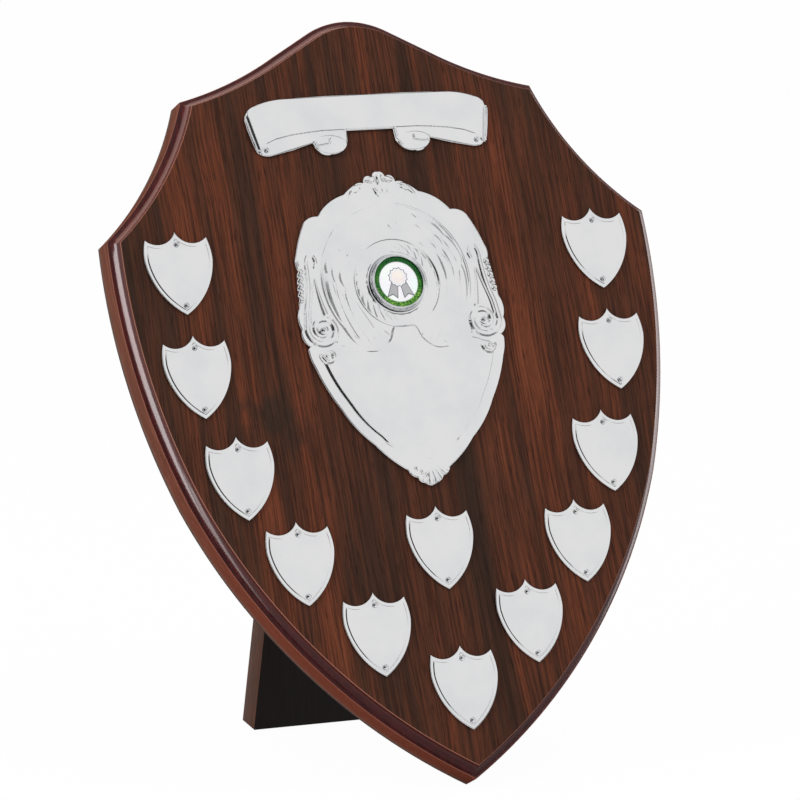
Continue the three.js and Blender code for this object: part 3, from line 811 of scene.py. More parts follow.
@dataclass(frozen=True)
class Rosewood:
    """Dark veneer with an upright figure of red-brown and near-black streaks, and a painted
    highlight along its edge.

    Attributes:
        knot: Middle of the dark cloud about the knot, on the board.
        knot_reach: Distances from its middle between which the cloud fades.
        knot_fray: How far noise moves the cloud's edge.
        sway: How far the streaks sway to the side.
        broad: Streaks per millimetre of the broad figure.
        fine: Streaks per millimetre of the fine grain.
        length: How much slower the figure changes along the grain.
        edge_highlight_top: Height over the board's back up to which the sheet's edge is painted
            pale, as a painted highlight.
    """

    knot: Triple = (-74, 172, 18)
    knot_reach: Point = (24, 42)
    knot_fray: float = 44.0
    sway: float = 12.0
    broad: float = 0.05
    fine: float = 1.0
    length: float = 0.035
    edge_highlight_top: float = FIT.thickness - 0.04

    def build(self, place: Matrix) -> Material:
        """Makes the material.

        Args:
            place: The frame of the pieces that wear it.

        Returns:
            The material.
        """
        made = Shader("rosewood_veneer", Specular_IOR_Level=0.08)
        plain = made.point(place)
        sway = made.sum("MULTIPLY", made.grain(place, (0.01, 0.006, 0.01), 2), self.sway)
        shift = made.node("ShaderNodeCombineXYZ", {"X": sway}).outputs[0]
        swayed = made.vector("ADD", plain, shift)

        def streaks(across: float, along: float, detail: float) -> Socket:
            """Gives streaks that many per millimetre across and along the grain."""
            return made.noise(made.vector("MULTIPLY", swayed, (across, along, across)), detail, 0.6)

        broad = streaks(self.broad, self.broad * self.length * 1.6, 3)
        middle = streaks(self.broad * 5, self.broad * self.length * 4, 4)
        fine = streaks(self.fine, self.fine * self.length * 0.5, 3)
        pores = streaks(self.fine * 2.4, self.fine * self.length * 3, 1)
        tone = made.ramp(
            made.blend(broad, 0.62, middle, 0.38),
            [
                (0.34, shade(46, 31, 24)), (0.43, shade(63, 39, 28)), (0.51, shade(83, 46, 31)),
                (0.58, shade(97, 51, 33)), (0.66, shade(112, 60, 39)),
            ],
        )
        cloud = made.grain(place, (0.016, 0.007, 0.016), 3)
        clouded = made.mix(made.span(cloud, 0.5, 0.72, 0.0, 0.5), tone, shade(44, 34, 27))
        fray = made.sum("MULTIPLY", made.grain(place, (0.07, 0.07, 0.07), 3), self.knot_fray)
        away = made.sum("ADD", made.distance(plain, self.knot), fray)
        knotted = made.mix(made.span(away, *self.knot_reach, 0.62, 0.0), clouded, shade(38, 34, 29))
        grain = made.mix(made.span(fine, 0.42, 0.62, 0.0, 0.66), knotted, shade(40, 23, 17))
        flecks = made.mix(made.span(pores, 0.58, 0.7, 0.0, 0.65), grain, shade(26, 15, 11))
        # Painted highlight: the sheet's own edge is painted pale, standing in for light caught
        # along the veneer's edge.
        edge = made.span(made.axis(plain, "Z"), self.edge_highlight_top - 0.03, self.edge_highlight_top, 0.8, 0.0)
        with_edge_highlight = made.mix(edge, flecks, shade(150, 100, 84))
        made.bump(made.sum("SUBTRACT", fine, pores), 0.12, 0.0001)
        return made.dress(Base_Color=with_edge_highlight, Roughness=made.span(fine, 0.3, 0.7, 0.38, 0.5))


@dataclass(frozen=True)
class Mahogany:
    """Red-brown edge of the board: satin on its wall, with painted sheen greying it towards the
    back and a painted highlight along its arris.

    Attributes:
        arris: Height over the board's back where the painted highlight along the arris starts.
        painted_sheen_top: Height over the board's back up to which the wall is painted greyer, as a
            painted sheen.
        warm: Heights up the board between which the wall turns less red.
    """

    arris: float = 11.7
    painted_sheen_top: float = 5.0
    warm: Point = (60, 200)

    def build(self, place: Matrix) -> Material:
        """Makes the material.

        Args:
            place: The frame of the pieces that wear it.

        Returns:
            The material.
        """
        made = Shader("satin_mahogany", Specular_IOR_Level=0.0)
        plain = made.point(place)
        height = made.axis(plain, "Z")
        figure = made.grain(place, (0.35, 0.02, 0.5), 4)
        pores = made.grain(place, (1.4, 0.07, 1.8), 2)
        tones = [(0.3, shade(86, 53, 43)), (0.5, shade(97, 60, 49)), (0.7, shade(110, 70, 57))]
        pitted = made.span(pores, 0.55, 0.7, 0.0, 0.4)
        lined = made.mix(pitted, made.ramp(figure, tones), shade(70, 40, 32))
        low = made.span(made.axis(plain, "Y"), *self.warm, 0.6, 0.0)
        warm = made.mix(low, lined, shade(104, 47, 33))
        # Painted sheen: the wall is painted greyer towards the board's back, standing in for
        # reflected light.
        wall_with_painted_sheen = made.mix(made.span(height, 0.0, self.painted_sheen_top, 0.6, 0.0), warm, shade(98, 84, 76))
        # Painted highlight: the arris is painted paler, standing in for light caught on the edge.
        arris = made.span(height, self.arris, self.arris + 0.2, 0.0, 0.6)
        with_edge_highlight = made.mix(arris, wall_with_painted_sheen, shade(134, 84, 70))
        made.bump(pores, 0.08, 0.0001)
        return made.dress(Base_Color=with_edge_highlight, Roughness=made.span(figure, 0.3, 0.7, 0.4, 0.5))


@dataclass(frozen=True)
class DarkLacquer:
    """Near-black maroon lacquer in the moulding's hollow, painted browner towards its top as a
    painted sheen.

    Attributes:
        rise: Heights over the board's back between which it is painted browner, a painted sheen up
            the steeper part of the hollow.
    """

    rise: Point = (13.5, 16.6)

    def build(self, place: Matrix) -> Material:
        """Makes the material.

        Args:
            place: The frame of the pieces that wear it.

        Returns:
            The material.
        """
        coat = {"Coat_Weight": 0.3, "Coat_Roughness": 0.16, "Coat_IOR": 1.5}
        made = Shader("dark_lacquer", Specular_IOR_Level=0.05, **coat)
        figure = made.grain(place, (0.35, 0.02, 0.5), 4)
        tone = made.ramp(figure, [(0.3, shade(42, 4, 5)), (0.7, shade(62, 9, 8))])
        # Painted sheen: the upper, steeper part of the hollow is painted browner, standing in for
        # light caught there.
        hollow_painted_sheen = made.span(made.axis(made.point(place), "Z"), *self.rise, 0.0, 0.8)
        made.bump(figure, 0.05, 0.0001)
        gloss = made.span(figure, 0.3, 0.7, 0.4, 0.5)
        return made.dress(Base_Color=made.mix(hollow_painted_sheen, tone, shade(66, 26, 21)), Roughness=gloss)


@dataclass(frozen=True)
class StainedBoard:
    """Plain board under a dark stain, as on a back or a strut.

    Attributes:
        name: The material's name.
        dark: Its darker colour.
        light: Its lighter colour.
        gloss: Its roughness.
    """

    name: str
    dark: Colour
    light: Colour
    gloss: float

    def build(self, place: Matrix) -> Material:
        """Makes the material.

        Args:
            place: The frame of the pieces that wear it.

        Returns:
            The material.
        """
        made = Shader(self.name, Specular_IOR_Level=0.12)
        cloud = made.grain(place, (0.03, 0.008, 0.03), 4)
        fibre = made.grain(place, (0.8, 0.05, 0.8), 3)
        speck = made.grain(place, (2.5, 2.5, 2.5), 2)
        figure = made.blend(cloud, 0.45, fibre, 0.55)
        tone = made.ramp(figure, [(0.35, self.dark), (0.65, self.light)])
        pitted = made.mix(made.span(speck, 0.6, 0.75, 0.0, 0.4), tone, shade(8, 6, 5))
        made.bump(made.sum("ADD", fibre, speck), 0.25, 0.00015)
        gloss = made.span(cloud, 0.3, 0.7, self.gloss - 0.06, self.gloss + 0.08)
        return made.dress(Base_Color=pitted, Roughness=gloss)


@dataclass(frozen=True)
class PolishedMetal:
    """Polished metal with a faint cast and the finest of handling marks.

    Attributes:
        name: The material's name.
        colour: The metal's colour.
        tarnish: Its colour where it has dulled a little.
        smooth: Its roughness where it is brightest.
        dull: Its roughness where it is dullest.
        depth: Depth of its surface texture in metres.
    """

    name: str
    colour: Colour
    tarnish: Colour
    smooth: float
    dull: float
    depth: float

    def build(self, place: Matrix) -> Material:
        """Makes the material.

        Args:
            place: The frame of the pieces that wear it.

        Returns:
            The material.
        """
        made = Shader(self.name, Metallic=1.0)
        cloud = made.grain(place, (0.05, 0.05, 0.05), 3)
        lines = made.grain(place, (0.3, 4.0, 0.3), 2)
        tone = made.mix(made.span(cloud, 0.35, 0.75, 0.0, 1.0), self.colour, self.tarnish)
        gloss = made.span(lines, 0.3, 0.7, self.smooth, self.dull)
        made.bump(lines, 0.15, self.depth)
        return made.dress(Base_Color=tone, Roughness=gloss)


@dataclass(frozen=True)
class DiscPrint:
    """Printed foil disc: a pearly middle inside a ring of green glitter, with a painted highlight
    on its lower part.

    Attributes:
        middle_radius: Radius of the pearly middle.
        blur: Half the width over which it turns into the ring.
        flake: Glitter flakes per millimetre.
        painted_glint_span: Heights on the disc between which the green darkens going up; below them
            it is painted lighter, as a painted highlight.
    """

    middle_radius: float = 9.6
    blur: float = 0.35
    flake: float = 2.4
    painted_glint_span: Point = (-12, 12)

    def build(self, place: Matrix) -> Material:
        """Makes the material.

        Args:
            place: The frame of the pieces that wear it.

        Returns:
            The material.
        """
        coat = {"Coat_Weight": 0.3, "Coat_Roughness": 0.04}
        made = Shader("glitter_disc", Specular_IOR_Level=0.1, Roughness=0.3, **coat)
        plain = made.point(place)
        flakes = made.node("ShaderNodeTexVoronoi", {"Vector": plain, "Scale": self.flake})
        glint = made.axis(flakes.outputs["Color"], "X")
        drift = made.grain(place, (0.09, 0.09, 0.09), 2)
        # Painted highlight: the glitter is painted lighter towards the bottom of the disc.
        painted_glint = made.span(made.axis(plain, "Y"), *self.painted_glint_span, 0.32, 0.0)
        green = made.ramp(
            made.sum("ADD", made.blend(glint, 0.42, drift, 0.45), painted_glint),
            [
                (0.25, shade(4, 52, 18)), (0.5, shade(10, 88, 28)), (0.72, shade(38, 106, 26)),
                (0.95, shade(150, 196, 84)),
            ],
        )
        inputs = {"Vector": plain, "Scale": 0.12}
        tint = made.node("ShaderNodeTexVoronoi", inputs, feature="SMOOTH_F1").outputs["Color"]
        pearl = made.mix(0.12, shade(243, 243, 245), tint)
        reach = made.distance(made.vector("MULTIPLY", plain, (1, 1, 0)), (0, 0, 0))
        start, end = self.middle_radius - self.blur, self.middle_radius + self.blur
        ring = made.span(reach, start, end, 0, 1)
        made.bump(glint, 0.3, 0.0001)
        metallic = made.sum("MULTIPLY", ring, 0.6)
        return made.dress(Base_Color=made.mix(ring, pearl, green), Metallic=metallic)


@dataclass(frozen=True)
class Ink:
    """One printed colour with the grain of its screen.

    Attributes:
        name: The material's name.
        colour: The ink's colour.
        second: The colour that it drifts to.
    """

    name: str
    colour: Colour
    second: Colour

    def build(self, place: Matrix) -> Material:
        """Makes the material.

        Args:
            place: The frame of the pieces that wear it.

        Returns:
            The material.
        """
        coat = {"Coat_Weight": 1.0, "Coat_Roughness": 0.04, "Coat_IOR": 1.5}
        made = Shader(self.name, Roughness=0.35, **coat)
        drift = made.grain(place, (0.25, 0.25, 0.25), 2)
        grain = made.grain(place, (6, 6, 6), 1)
        share = made.blend(drift, 0.8, grain, 0.2)
        made.bump(grain, 0.1, 0.00003)
        return made.dress(Base_Color=made.mix(share, self.colour, self.second))


# Sub-assemblies.


@dataclass
class Woodwork:
    """The board: a moulded core between a face veneer and a back veneer.

    Attributes:
        outline: The board's outline.
        moulding_width: How far the moulding reaches in from the edge.
        moulding_depth: Height of the moulding below the face.
        quirk: Height of the upright step under the veneer.
        arris: Width of the flat beside the hollow's foot.
        glue: Thickness of the glue between veneer and core.
        arris_steps: How many facets round the arris has.
        hollow_steps: How many facets the hollow has.
    """

    outline: Outline = Outline(
        rows=(
            (0, 0, 0.084), (0.863, 0.378, 0.049), (1, 0.724, -0.069), (0.656, 0.902, -0.039),
            (0.29, 0.956, 0), (0.15, 0.985, 0.063), (0, 1, 0),
        ),
        half_width=FIT.board_half_width - 0.14,
        above=FIT.board_height,
        step=math.radians(1.2),
    )
    moulding_width: float = 4.4
    moulding_depth: float = 5.8
    quirk: float = 1.2
    arris: float = 0.4
    glue: float = 0.2
    arris_steps: int = 4
    hollow_steps: int = 14

    @property
    def foot(self) -> float:
        """Height of the hollow's foot over the board's back."""
        return FIT.thickness - self.moulding_depth - 0.1

    def core_levels(self) -> list[Point]:
        """Draws the moulded edge.

        Returns:
            Its levels from the back of the core to its front.
        """
        foot = self.foot
        top = FIT.thickness - self.quirk
        levels = [(0.0, FIT.veneer + self.glue)]
        for i in range(self.arris_steps + 1):
            turn = math.pi / 2 * i / self.arris_steps
            rise = self.arris * (math.sin(turn) - 1)
            levels.append((0.9 * self.arris * (1 - math.cos(turn)), foot + rise))
        spread = self.moulding_width - self.arris
        for i in range(self.hollow_steps + 1):
            turn = math.pi / 2 * (1 - i / self.hollow_steps)
            inset = self.arris + spread * math.cos(turn)
            levels.append((inset, top - (top - foot) * math.sin(turn)))
        levels.append((self.moulding_width, FIT.thickness - FIT.veneer - self.glue))
        return levels

    def face_levels(self) -> list[Point]:
        """Draws the softened edge of the face veneer.

        Returns:
            Its levels from the back of the sheet to its front.
        """
        top, edge = FIT.thickness, self.moulding_width + 0.03
        bend = [(edge, top - 0.3), (edge + 0.1, top - 0.12), (edge + 0.33, top)]
        return [(edge, top - FIT.veneer), *bend, (edge + 0.7, top)]

    def build(self) -> None:
        """Builds and dresses the core and both veneers."""
        core, face, back = bmesh.new(), bmesh.new(), bmesh.new()
        back_levels = [(0, 0), (0, FIT.veneer - 0.1), (0.1, FIT.veneer)]
        sections = (core, self.core_levels()), (face, self.face_levels()), (back, back_levels)
        for sheet, levels in sections:
            moulded(sheet, self.outline.rings(levels))
        for part in core.faces:
            part.material_index = 1 if part.calc_center_median().z > self.foot else 0
        edges = [Mahogany().build(BOARD), DarkLacquer().build(BOARD)]
        rosewood = Rosewood().build(BOARD)
        stain = StainedBoard("stained_back", shade(30, 22, 19), shade(48, 34, 28), 0.5).build(BOARD)
        body = Body.PLAQUE
        finished(core, "moulded_core", edges, BOARD, body, ["core_board"])
        finished(face, "rosewood_face", [rosewood], BOARD, body, ["face_veneer"])
        finished(back, "back_sheet", [stain], BOARD, body, ["back_veneer"])


@dataclass
class NamePlates:
    """The small shields for winners' names, with their stepped rims.

    Attributes:
        outline: A plate's outline from its tip.
        places: Middles of the side plates as shares of the board's half width and height.
        tip_share: Height of the plate at the tip as a share of the board's height.
        centre_gap: The gap between the centre shield and the plate below it.
        levels: The rim's section as distance moved in and height.
    """

    outline: Outline = Outline(
        rows=((0, 0, 0.119), (1, 0.655, 0.045), (0.905, 0.92, -0.26), (0, 1, 0)),
        half_width=16.6,
        above=39.5,
        step=math.radians(2),
    )
    places: tuple[Point, ...] = (
        (0.7735, 0.6718), (0.769, 0.5364), (0.6757, 0.4027), (0.5128, 0.2882), (0.281, 0.1904),
    )
    tip_share: float = 0.1132
    centre_gap: float = 9.4
    levels: tuple[Point, ...] = (
        (0.06, 0), (0, 0.1), (0, 0.74), (0.03, 0.84), (0.1, 0.92), (0.25, 0.98), (0.5, 1.0),
        (0.56, 1.0), (1.4, 1.0), (1.46, 1.0), (1.54, 1.03), (1.62, 1.08), (1.82, 1.22),
        (1.9, 1.27), (1.98, 1.295), (2.1, 1.3), (2.6, 1.3),
    )

    def middles(self) -> list[Vector]:
        """Places the plates on the board.

        Returns:
            Their middles in the order of their numbers.
        """
        places = [
            Vector((sign * x * FIT.board_half_width, y * FIT.board_height))
            for sign in (-1, 1)
            for x, y in self.places
        ]
        below = FIT.centre.y - FIT.centre_below - self.centre_gap - self.outline.above / 2
        return places + [Vector((0, below)), Vector((0, self.tip_share * FIT.board_height))]

    def build(self, silver: Material) -> None:
        """Builds and dresses every plate.

        Args:
            silver: The plates' material.
        """
        rings = self.outline.rings(self.levels)
        for number, middle in enumerate(self.middles(), 1):
            plate = bmesh.new()
            moulded(plate, rings)
            shift = Matrix.Translation((middle.x, middle.y - self.outline.above / 2, FIT.seat))
            name, node = f"winner_plate_{number:02d}", f"name_plate_{number:02d}"
            place = BOARD @ shift
            finished(plate, name, [silver], place, Body.PLAQUE, [node], crease=60)


@dataclass
class Pins:
    """The domed pins that hold every plate.

    Attributes:
        head_radius: Radius of a head.
        head_rise: Height of a head.
        shank_radius: Radius of a shank.
        shank_length: Length of a shank.
        head: A head's section as shares of its radius and its height.
    """

    head_radius: float = 1.3
    head_rise: float = 0.9
    shank_radius: float = 0.6
    shank_length: float = 8.0
    head: tuple[Point, ...] = (
        (0.98, 0.22), (0.9, 0.33), (0.72, 0.49), (0.5, 0.69), (0.34, 0.84), (0.2, 0.94),
        (0.08, 0.99), (0, 1),
    )

    def profile(self) -> list[Point]:
        """Draws a pin's section.

        Returns:
            Radius and height of its points, from the pin's point to the top of its head.
        """
        low, thin, wide = -self.shank_length, self.shank_radius, self.head_radius
        lines = [(0.0, low), (thin, low + thin), (thin, 0.0), (wide - 0.1, 0.0), (wide, 0.1)]
        return lines + [(wide * share, self.head_rise * rise) for share, rise in self.head]

    def build(self, chrome: Material) -> None:
        """Builds a pin where each pin node is.

        Args:
            chrome: The pins' material.
        """
        back = BOARD.inverted()
        for node in sorted(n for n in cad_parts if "_pin_" in n):
            corners = [back @ v.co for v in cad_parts[node].data.vertices]
            low = Vector(min(c[k] for c in corners) for k in range(3))
            high = Vector(max(c[k] for c in corners) for k in range(3))
            pin = bmesh.new()
            turned(pin, self.profile(), steps=20, closed=False)
            middle = (low + high) / 2
            shift = Matrix.Translation((middle.x, middle.y, high.z - self.head_rise))
            name = node.replace("_pin_", "_tack_")
            finished(pin, name, [chrome], BOARD @ shift, Body.PLAQUE, [node], crease=50)


@dataclass
class CentreShield:
    """The large pressed plate: wreath, laurel, side scrolls, rolled border and fluted shell.

    Attributes:
        outline: Its outline about the holder's middle.
        thickness: Height of the plate's plane.
        inner_radius: Where the sheet starts, under the holder.
        columns: How many columns of faces go round.
        rows: How many rows of faces lie inside the wreath's circle, in the field and by the edge.
        field_radius: Radius of the round field.
        field_centre: Height of its middle.
        wreath_radius: Radius of the ring that the laurel springs from.
        rope_radius: Radius of the twisted rope.
        rope_half_width: Half the rope's width.
        rope_rise: Height of the rope, and depth of the hollow that it lies in.
        rope_strands: How many strands show round the rope.
        rope_twist: How far its strands lean, in radians for each millimetre across.
        rim_band: Width of the band by the edge that has the finest rows.
        shell_rise: Height of the shell's middle over the tip.
        shell_flutes: How many flutes its spread has.
        shell_spread: The angle that they spread over, in radians.
        field_top: Upper border of the field for engraving, from the right to the middle.
        leaves: Spines of the laurel leaves of the right half.
        leaf_half_width: Half the width of a leaf.
        shell_dents: Upper ends of the dents beside the shell.
    """

    outline: Outline = Outline(
        rows=(
            (0, -1, 0.05), (0.06, -0.985, 0.16), (0.125, -0.955, 0.16), (0.205, -0.915, 0.04),
            (0.48, -0.78, 0.05), (0.74, -0.597, 0.035), (0.92, -0.385, 0.05), (0.955, -0.31, 0.25),
            (0.925, -0.285, 0.2), (0.985, -0.2, 0.12), (0.975, -0.09, 0.02), (0.935, 0.18, 0.1),
            (0.925, 0.3, 0.03), (0.8, 0.58, 0.12), (0.65, 0.632, 0.09), (0.365, 0.81, 0.03),
            (0.24, 0.895, 0.12), (0.155, 0.905, 0.35), (0.062, 0.955, 0.25), (0, 1, 0),
        ),
        half_width=51.8,
        above=FIT.centre_above,
        below=FIT.centre_below,
    )
    thickness: float = 1.4
    inner_radius: float = 11.5
    columns: int = 720
    rows: tuple[int, int, int] = (76, 20, 36)
    field_radius: float = 36.8
    field_centre: float = 1.8
    wreath_radius: float = 21.4
    rope_radius: float = 17.7
    rope_half_width: float = 2.7
    rope_rise: float = 0.42
    rope_strands: int = 24
    rope_twist: float = 0.0776
    rim_band: float = 8.0
    shell_rise: float = 13.5
    shell_flutes: int = 7
    shell_spread: float = math.radians(112)
    field_top: tuple[Point, ...] = (
        (44.3, -33.0), (36.4, -29.2), (32.5, -28.4), (28.6, -29.7), (23.6, -31.5), (19.4, -31.9),
        (15.2, -31.9), (11.7, -30.3), (7.9, -26.5), (5.4, -21.2), (0.0, -20.4),
    )
    leaves: tuple[tuple[Point, ...], ...] = (
        ((21.0, -31.2), (26.3, -24.5), (30.6, -14.5), (33.2, -4.0), (33.6, 4.0), (31.8, 11.0)),
        ((17.6, -31.4), (22.6, -24.0), (27.0, -14.5), (29.4, -5.0), (30.0, 2.5)),
        ((14.8, -31.2), (18.8, -24.6), (22.9, -16.0), (25.3, -7.0), (25.8, 1.0)),
        ((11.5, -29.6), (15.2, -24.2), (18.4, -19.0), (21.8, -11.5), (23.2, -5.5)),
        ((8.2, -26.0), (11.5, -24.0), (15.5, -20.4)),
        ((29.8, 0.5), (30.4, 6.5), (28.6, 12.5), (24.8, 17.5)),
        ((25.4, -2.0), (26.6, 4.0), (25.4, 9.5), (22.3, 14.2)),
        ((33.8, 5.5), (32.9, 12.0), (29.4, 18.5), (24.4, 23.6)),
        ((26.4, 14.5), (23.6, 19.0), (19.2, 22.4), (13.8, 24.2)),
        ((28.2, 20.0), (23.6, 25.0), (17.8, 28.6), (11.2, 30.4)),
        ((22.8, 13.4), (19.2, 17.0), (14.6, 19.3)),
        ((17.0, 24.5), (12.6, 26.6), (7.6, 27.6), (2.2, 27.2)),
        ((16.2, 29.8), (11.2, 32.4), (5.6, 33.4), (0.6, 33.0)),
        ((9.2, 24.6), (5.4, 26.2), (1.6, 29.2), (-1.2, 31.6)),
    )
    leaf_half_width: float = 2.2
    shell_dents: tuple[Point, ...] = ((-6.8, -88.4), (-4.1, -90.0), (-2.0, -91.4))

    def sheet(self, u: Grid, v: Grid) -> tuple[Grid, Grid, Grid]:
        """Lays a square grid round the plate, from under the holder out to the edge.

        Args:
            u: The grid's places round the plate, from 0 to 1.
            v: The grid's places outwards, from 0 to 1.

        Returns:
            The places in millimetres, and how far each lies from the edge.
        """
        rim = resampled(self.outline.closed(), self.columns, closed=True)
        count = np.rint(u * self.columns).astype(int)
        x, y = rim[count, 0], rim[count, 1]
        reach = np.hypot(x, y)
        tip = np.clip(-y / reach, 0, 1) ** 8
        band = self.rim_band + (self.shell_rise - self.rim_band + 2) * tip
        total = sum(self.rows)
        stops = [0, self.rows[0] / total, (self.rows[0] + self.rows[1]) / total, 1]
        marks = [np.full_like(reach, self.inner_radius), np.full_like(reach, self.field_radius + 1)]
        marks += [reach - band, reach]
        marks[1] = np.minimum(marks[1], marks[2] - 1)
        radius = marks[0].copy()
        for low, high, start, end in zip(stops, stops[1:], marks, marks[1:]):
            share = np.clip((v - low) / (high - low), 0, 1)
            radius = np.where(v >= low, start + (end - start) * share, radius)
        return x * radius / reach, y * radius / reach, reach - radius

    def relief(self, x: Grid, y: Grid, from_edge: Grid) -> Grid:
        """Works out the height of the pressing.

        Args:
            x: Places to the right of the holder's middle.
            y: Places above it.
            from_edge: Distance from the plate's edge.

        Returns:
            The heights over the seat.
        """
        made = Relief(x, y)
        self.add_fields(made)
        self.add_wreath(made)
        self.add_side_scrolls(made)
        self.add_edges(made)
        self.add_shell(made)
        round_off = 0.34 * (1 - np.clip(from_edge / 0.6, 0, 1)) ** 2
        return self.thickness + made.base + made.crest - round_off

    def at(self, *shares: Point) -> list[Vector]:
        """Turns shares of the outline's reach into a path on the plate."""
        return [self.outline.place(row) for row in shares]

    @staticmethod
    def taper(count: int, start: float, end: float) -> list[float]:
        """Gives widths that change evenly from a start to an end."""
        return [start + (end - start) * i / (count - 1) for i in range(count)]

    def add_fields(self, made: Relief) -> None:
        """Adds the raised round field and the plain field for engraving.

        Args:
            made: The relief to add to.
        """
        distance = self.field_radius - np.hypot(made.x, made.y - self.field_centre)
        made.base += 0.3 * made.eased(distance / 5) * made.eased((made.y + 30) / 22)
        lower = inner_border(self.outline, inset=5.4, first=-0.34, last=-0.865)
        half = lower + smooth_path(path_of(*self.field_top), 4)
        field_outline = half + mirrored(list(reversed(half)))
        slope = 1.3 + 8 * made.eased((-74 - made.y) / 9)
        made.plateau(made.distance_inside(field_outline), 0.75, slope)

    def add_wreath(self, made: Relief) -> None:
        """Adds the twisted rope, its two rings and the laurel sprays.

        Args:
            made: The relief to add to.
        """
        radius = np.hypot(made.x, made.y)
        offset = radius - self.rope_radius
        band = np.sqrt(np.clip(1 - (offset / self.rope_half_width) ** 2, 0, 1))
        angle = np.arctan2(made.y, made.x) - offset * self.rope_twist
        strand = np.abs(np.cos(self.rope_strands / 2 * angle))
        made.crest = np.maximum(made.crest, self.rope_rise * band * (0.4 + 0.6 * strand**0.8))
        centre, soft = Vector((0, 0)), Crown.SOFT
        made.roll(arc_path(centre, self.wreath_radius, 0, 360, 60), [0.8], rise=0.2, crown=soft)
        sunk = made.eased((self.wreath_radius - radius) / 0.9 + 0.5)
        made.base -= self.rope_rise * (sunk - made.eased((16.2 - radius) / 2.4))
        made.roll(arc_path(centre, 14.7, 0, 360, 48), [0.6], rise=0.7)
        field_edge = arc_path(Vector((0, self.field_centre)), self.field_radius, -58, 238, 90)
        made.roll(field_edge, [0.85], rise=0.36, crown=soft)
        for number, leaf in enumerate(self.leaves):
            spine = smooth_path(path_of(*leaf), 5)
            count = len(spine) - 1
            swell = [math.sin(math.pi * i / count) ** 0.8 for i in range(count)]
            widths = [0.2 + self.leaf_half_width * share for share in swell] + [0.2]
            made.both_sides(spine, widths, rise=0.17 if number else 0.2, crown=Crown.LEAF)

    def add_side_scrolls(self, made: Relief) -> None:
        """Adds the volute, stem, tongue, strap, knot and inner leaf of each side.

        Args:
            made: The relief to add to.
        """
        eye = Vector((40.6, -20))
        stem = self.at(
            (0.913, -0.113), (0.88, -0.051), (0.857, 0.037), (0.847, 0.147), (0.842, 0.229),
            (0.815, 0.286), (0.77, 0.283), (0.749, 0.228), (0.765, 0.185),
        )
        volute = spiral_path(eye, inner=2.9, outer=7.9, turns=1.3, count=44)
        line = volute + smooth_path(stem, 4)
        swell = [math.sin(math.pi * min(1.0, 1.25 * i / len(line))) for i in range(len(line))]
        made.both_sides(line, [0.75 + 0.65 * share for share in swell], rise=0.5)
        made.plateau(2.3 - np.hypot(np.abs(made.x) - eye.x, made.y - eye.y), -0.25, 0.8)
        made.both_sides(dot(eye), [1.15], rise=0.55)
        tongue = self.at(
            (0.735, -0.13), (0.755, -0.085), (0.772, -0.03), (0.782, 0.04), (0.785, 0.12),
        )
        made.both_sides(smooth_path(tongue, 3), self.taper(13, 1.6, 0.3), 0.3, Crown.SOFT)
        strap = self.at(
            (0.905, -0.175), (0.885, -0.11), (0.848, -0.045), (0.812, 0.04), (0.795, 0.1),
        )
        made.both_sides(smooth_path(strap, 3), self.taper(13, 0.9, 0.35), rise=0.45)
        middle = self.outline.place((0.775, -0.335))
        knot = spiral_path(middle, inner=0.8, outer=3.6, turns=1.1, count=24)
        made.both_sides(knot, self.taper(25, 0.6, 1.0), rise=0.8)
        inner_leaf = self.at((0.7, -0.12), (0.66, -0.2), (0.66, -0.27))
        made.both_sides(smooth_path(inner_leaf, 3), self.taper(7, 0.5, 1.1), 0.3, Crown.SOFT)

    def add_edges(self, made: Relief) -> None:
        """Adds the rolled lower border, the softer upper one, the beads and the finial.

        Args:
            made: The relief to add to.
        """
        soft, leaf = Crown.SOFT, Crown.LEAF
        lower = inner_border(self.outline, inset=2.7, first=-0.335, last=-0.9)
        made.both_sides(lower, [2.3], rise=0.07, crown=soft)
        upper = inner_border(self.outline, inset=2.1, first=0.86, last=0.2)
        made.both_sides(upper, [1.7], rise=0.12, crown=soft)
        top, bottom = path_of((47.2, 8.0), (49.0, -5.0))
        for i in range(5):
            made.both_sides(dot(top.lerp(bottom, i / 4)), [1.4], rise=0.85)
        made.roll(path_of((0, 49.8), (0, 51.4)), [3.1, 2.7], rise=0.26, crown=soft)
        dent = Relief(made.x, made.y)
        dent.roll(path_of((-1.6, 48.6), (-1.7, 50.2), (-1.2, 52.2)), [0.5, 1.0, 0.3], rise=0.8)
        made.base -= dent.crest
        made.roll(path_of((0, 40.8), (0, 44.2), (0, 47.2)), [0.3, 1.3, 0.5], rise=0.35, crown=leaf)
        made.both_sides(path_of((2.9, 51.0), (4.6, 50.4), (6.2, 50.2)), [1.2, 1.5, 0.9], rise=0.6)
        fan = path_of((0.4, 41.0), (2.0, 44.0), (3.4, 46.6))
        made.both_sides(fan, [0.3, 1.1, 0.5], rise=0.4, crown=leaf)
        sprig = self.at((0.19, 0.885), (0.235, 0.868), (0.28, 0.83), (0.33, 0.775))
        made.both_sides(sprig, [0.5, 1.0, 1.0, 0.4], rise=0.75)
        made.both_sides(self.at((0.21, 0.85), (0.25, 0.828)), [0.7, 0.6], rise=0.8)

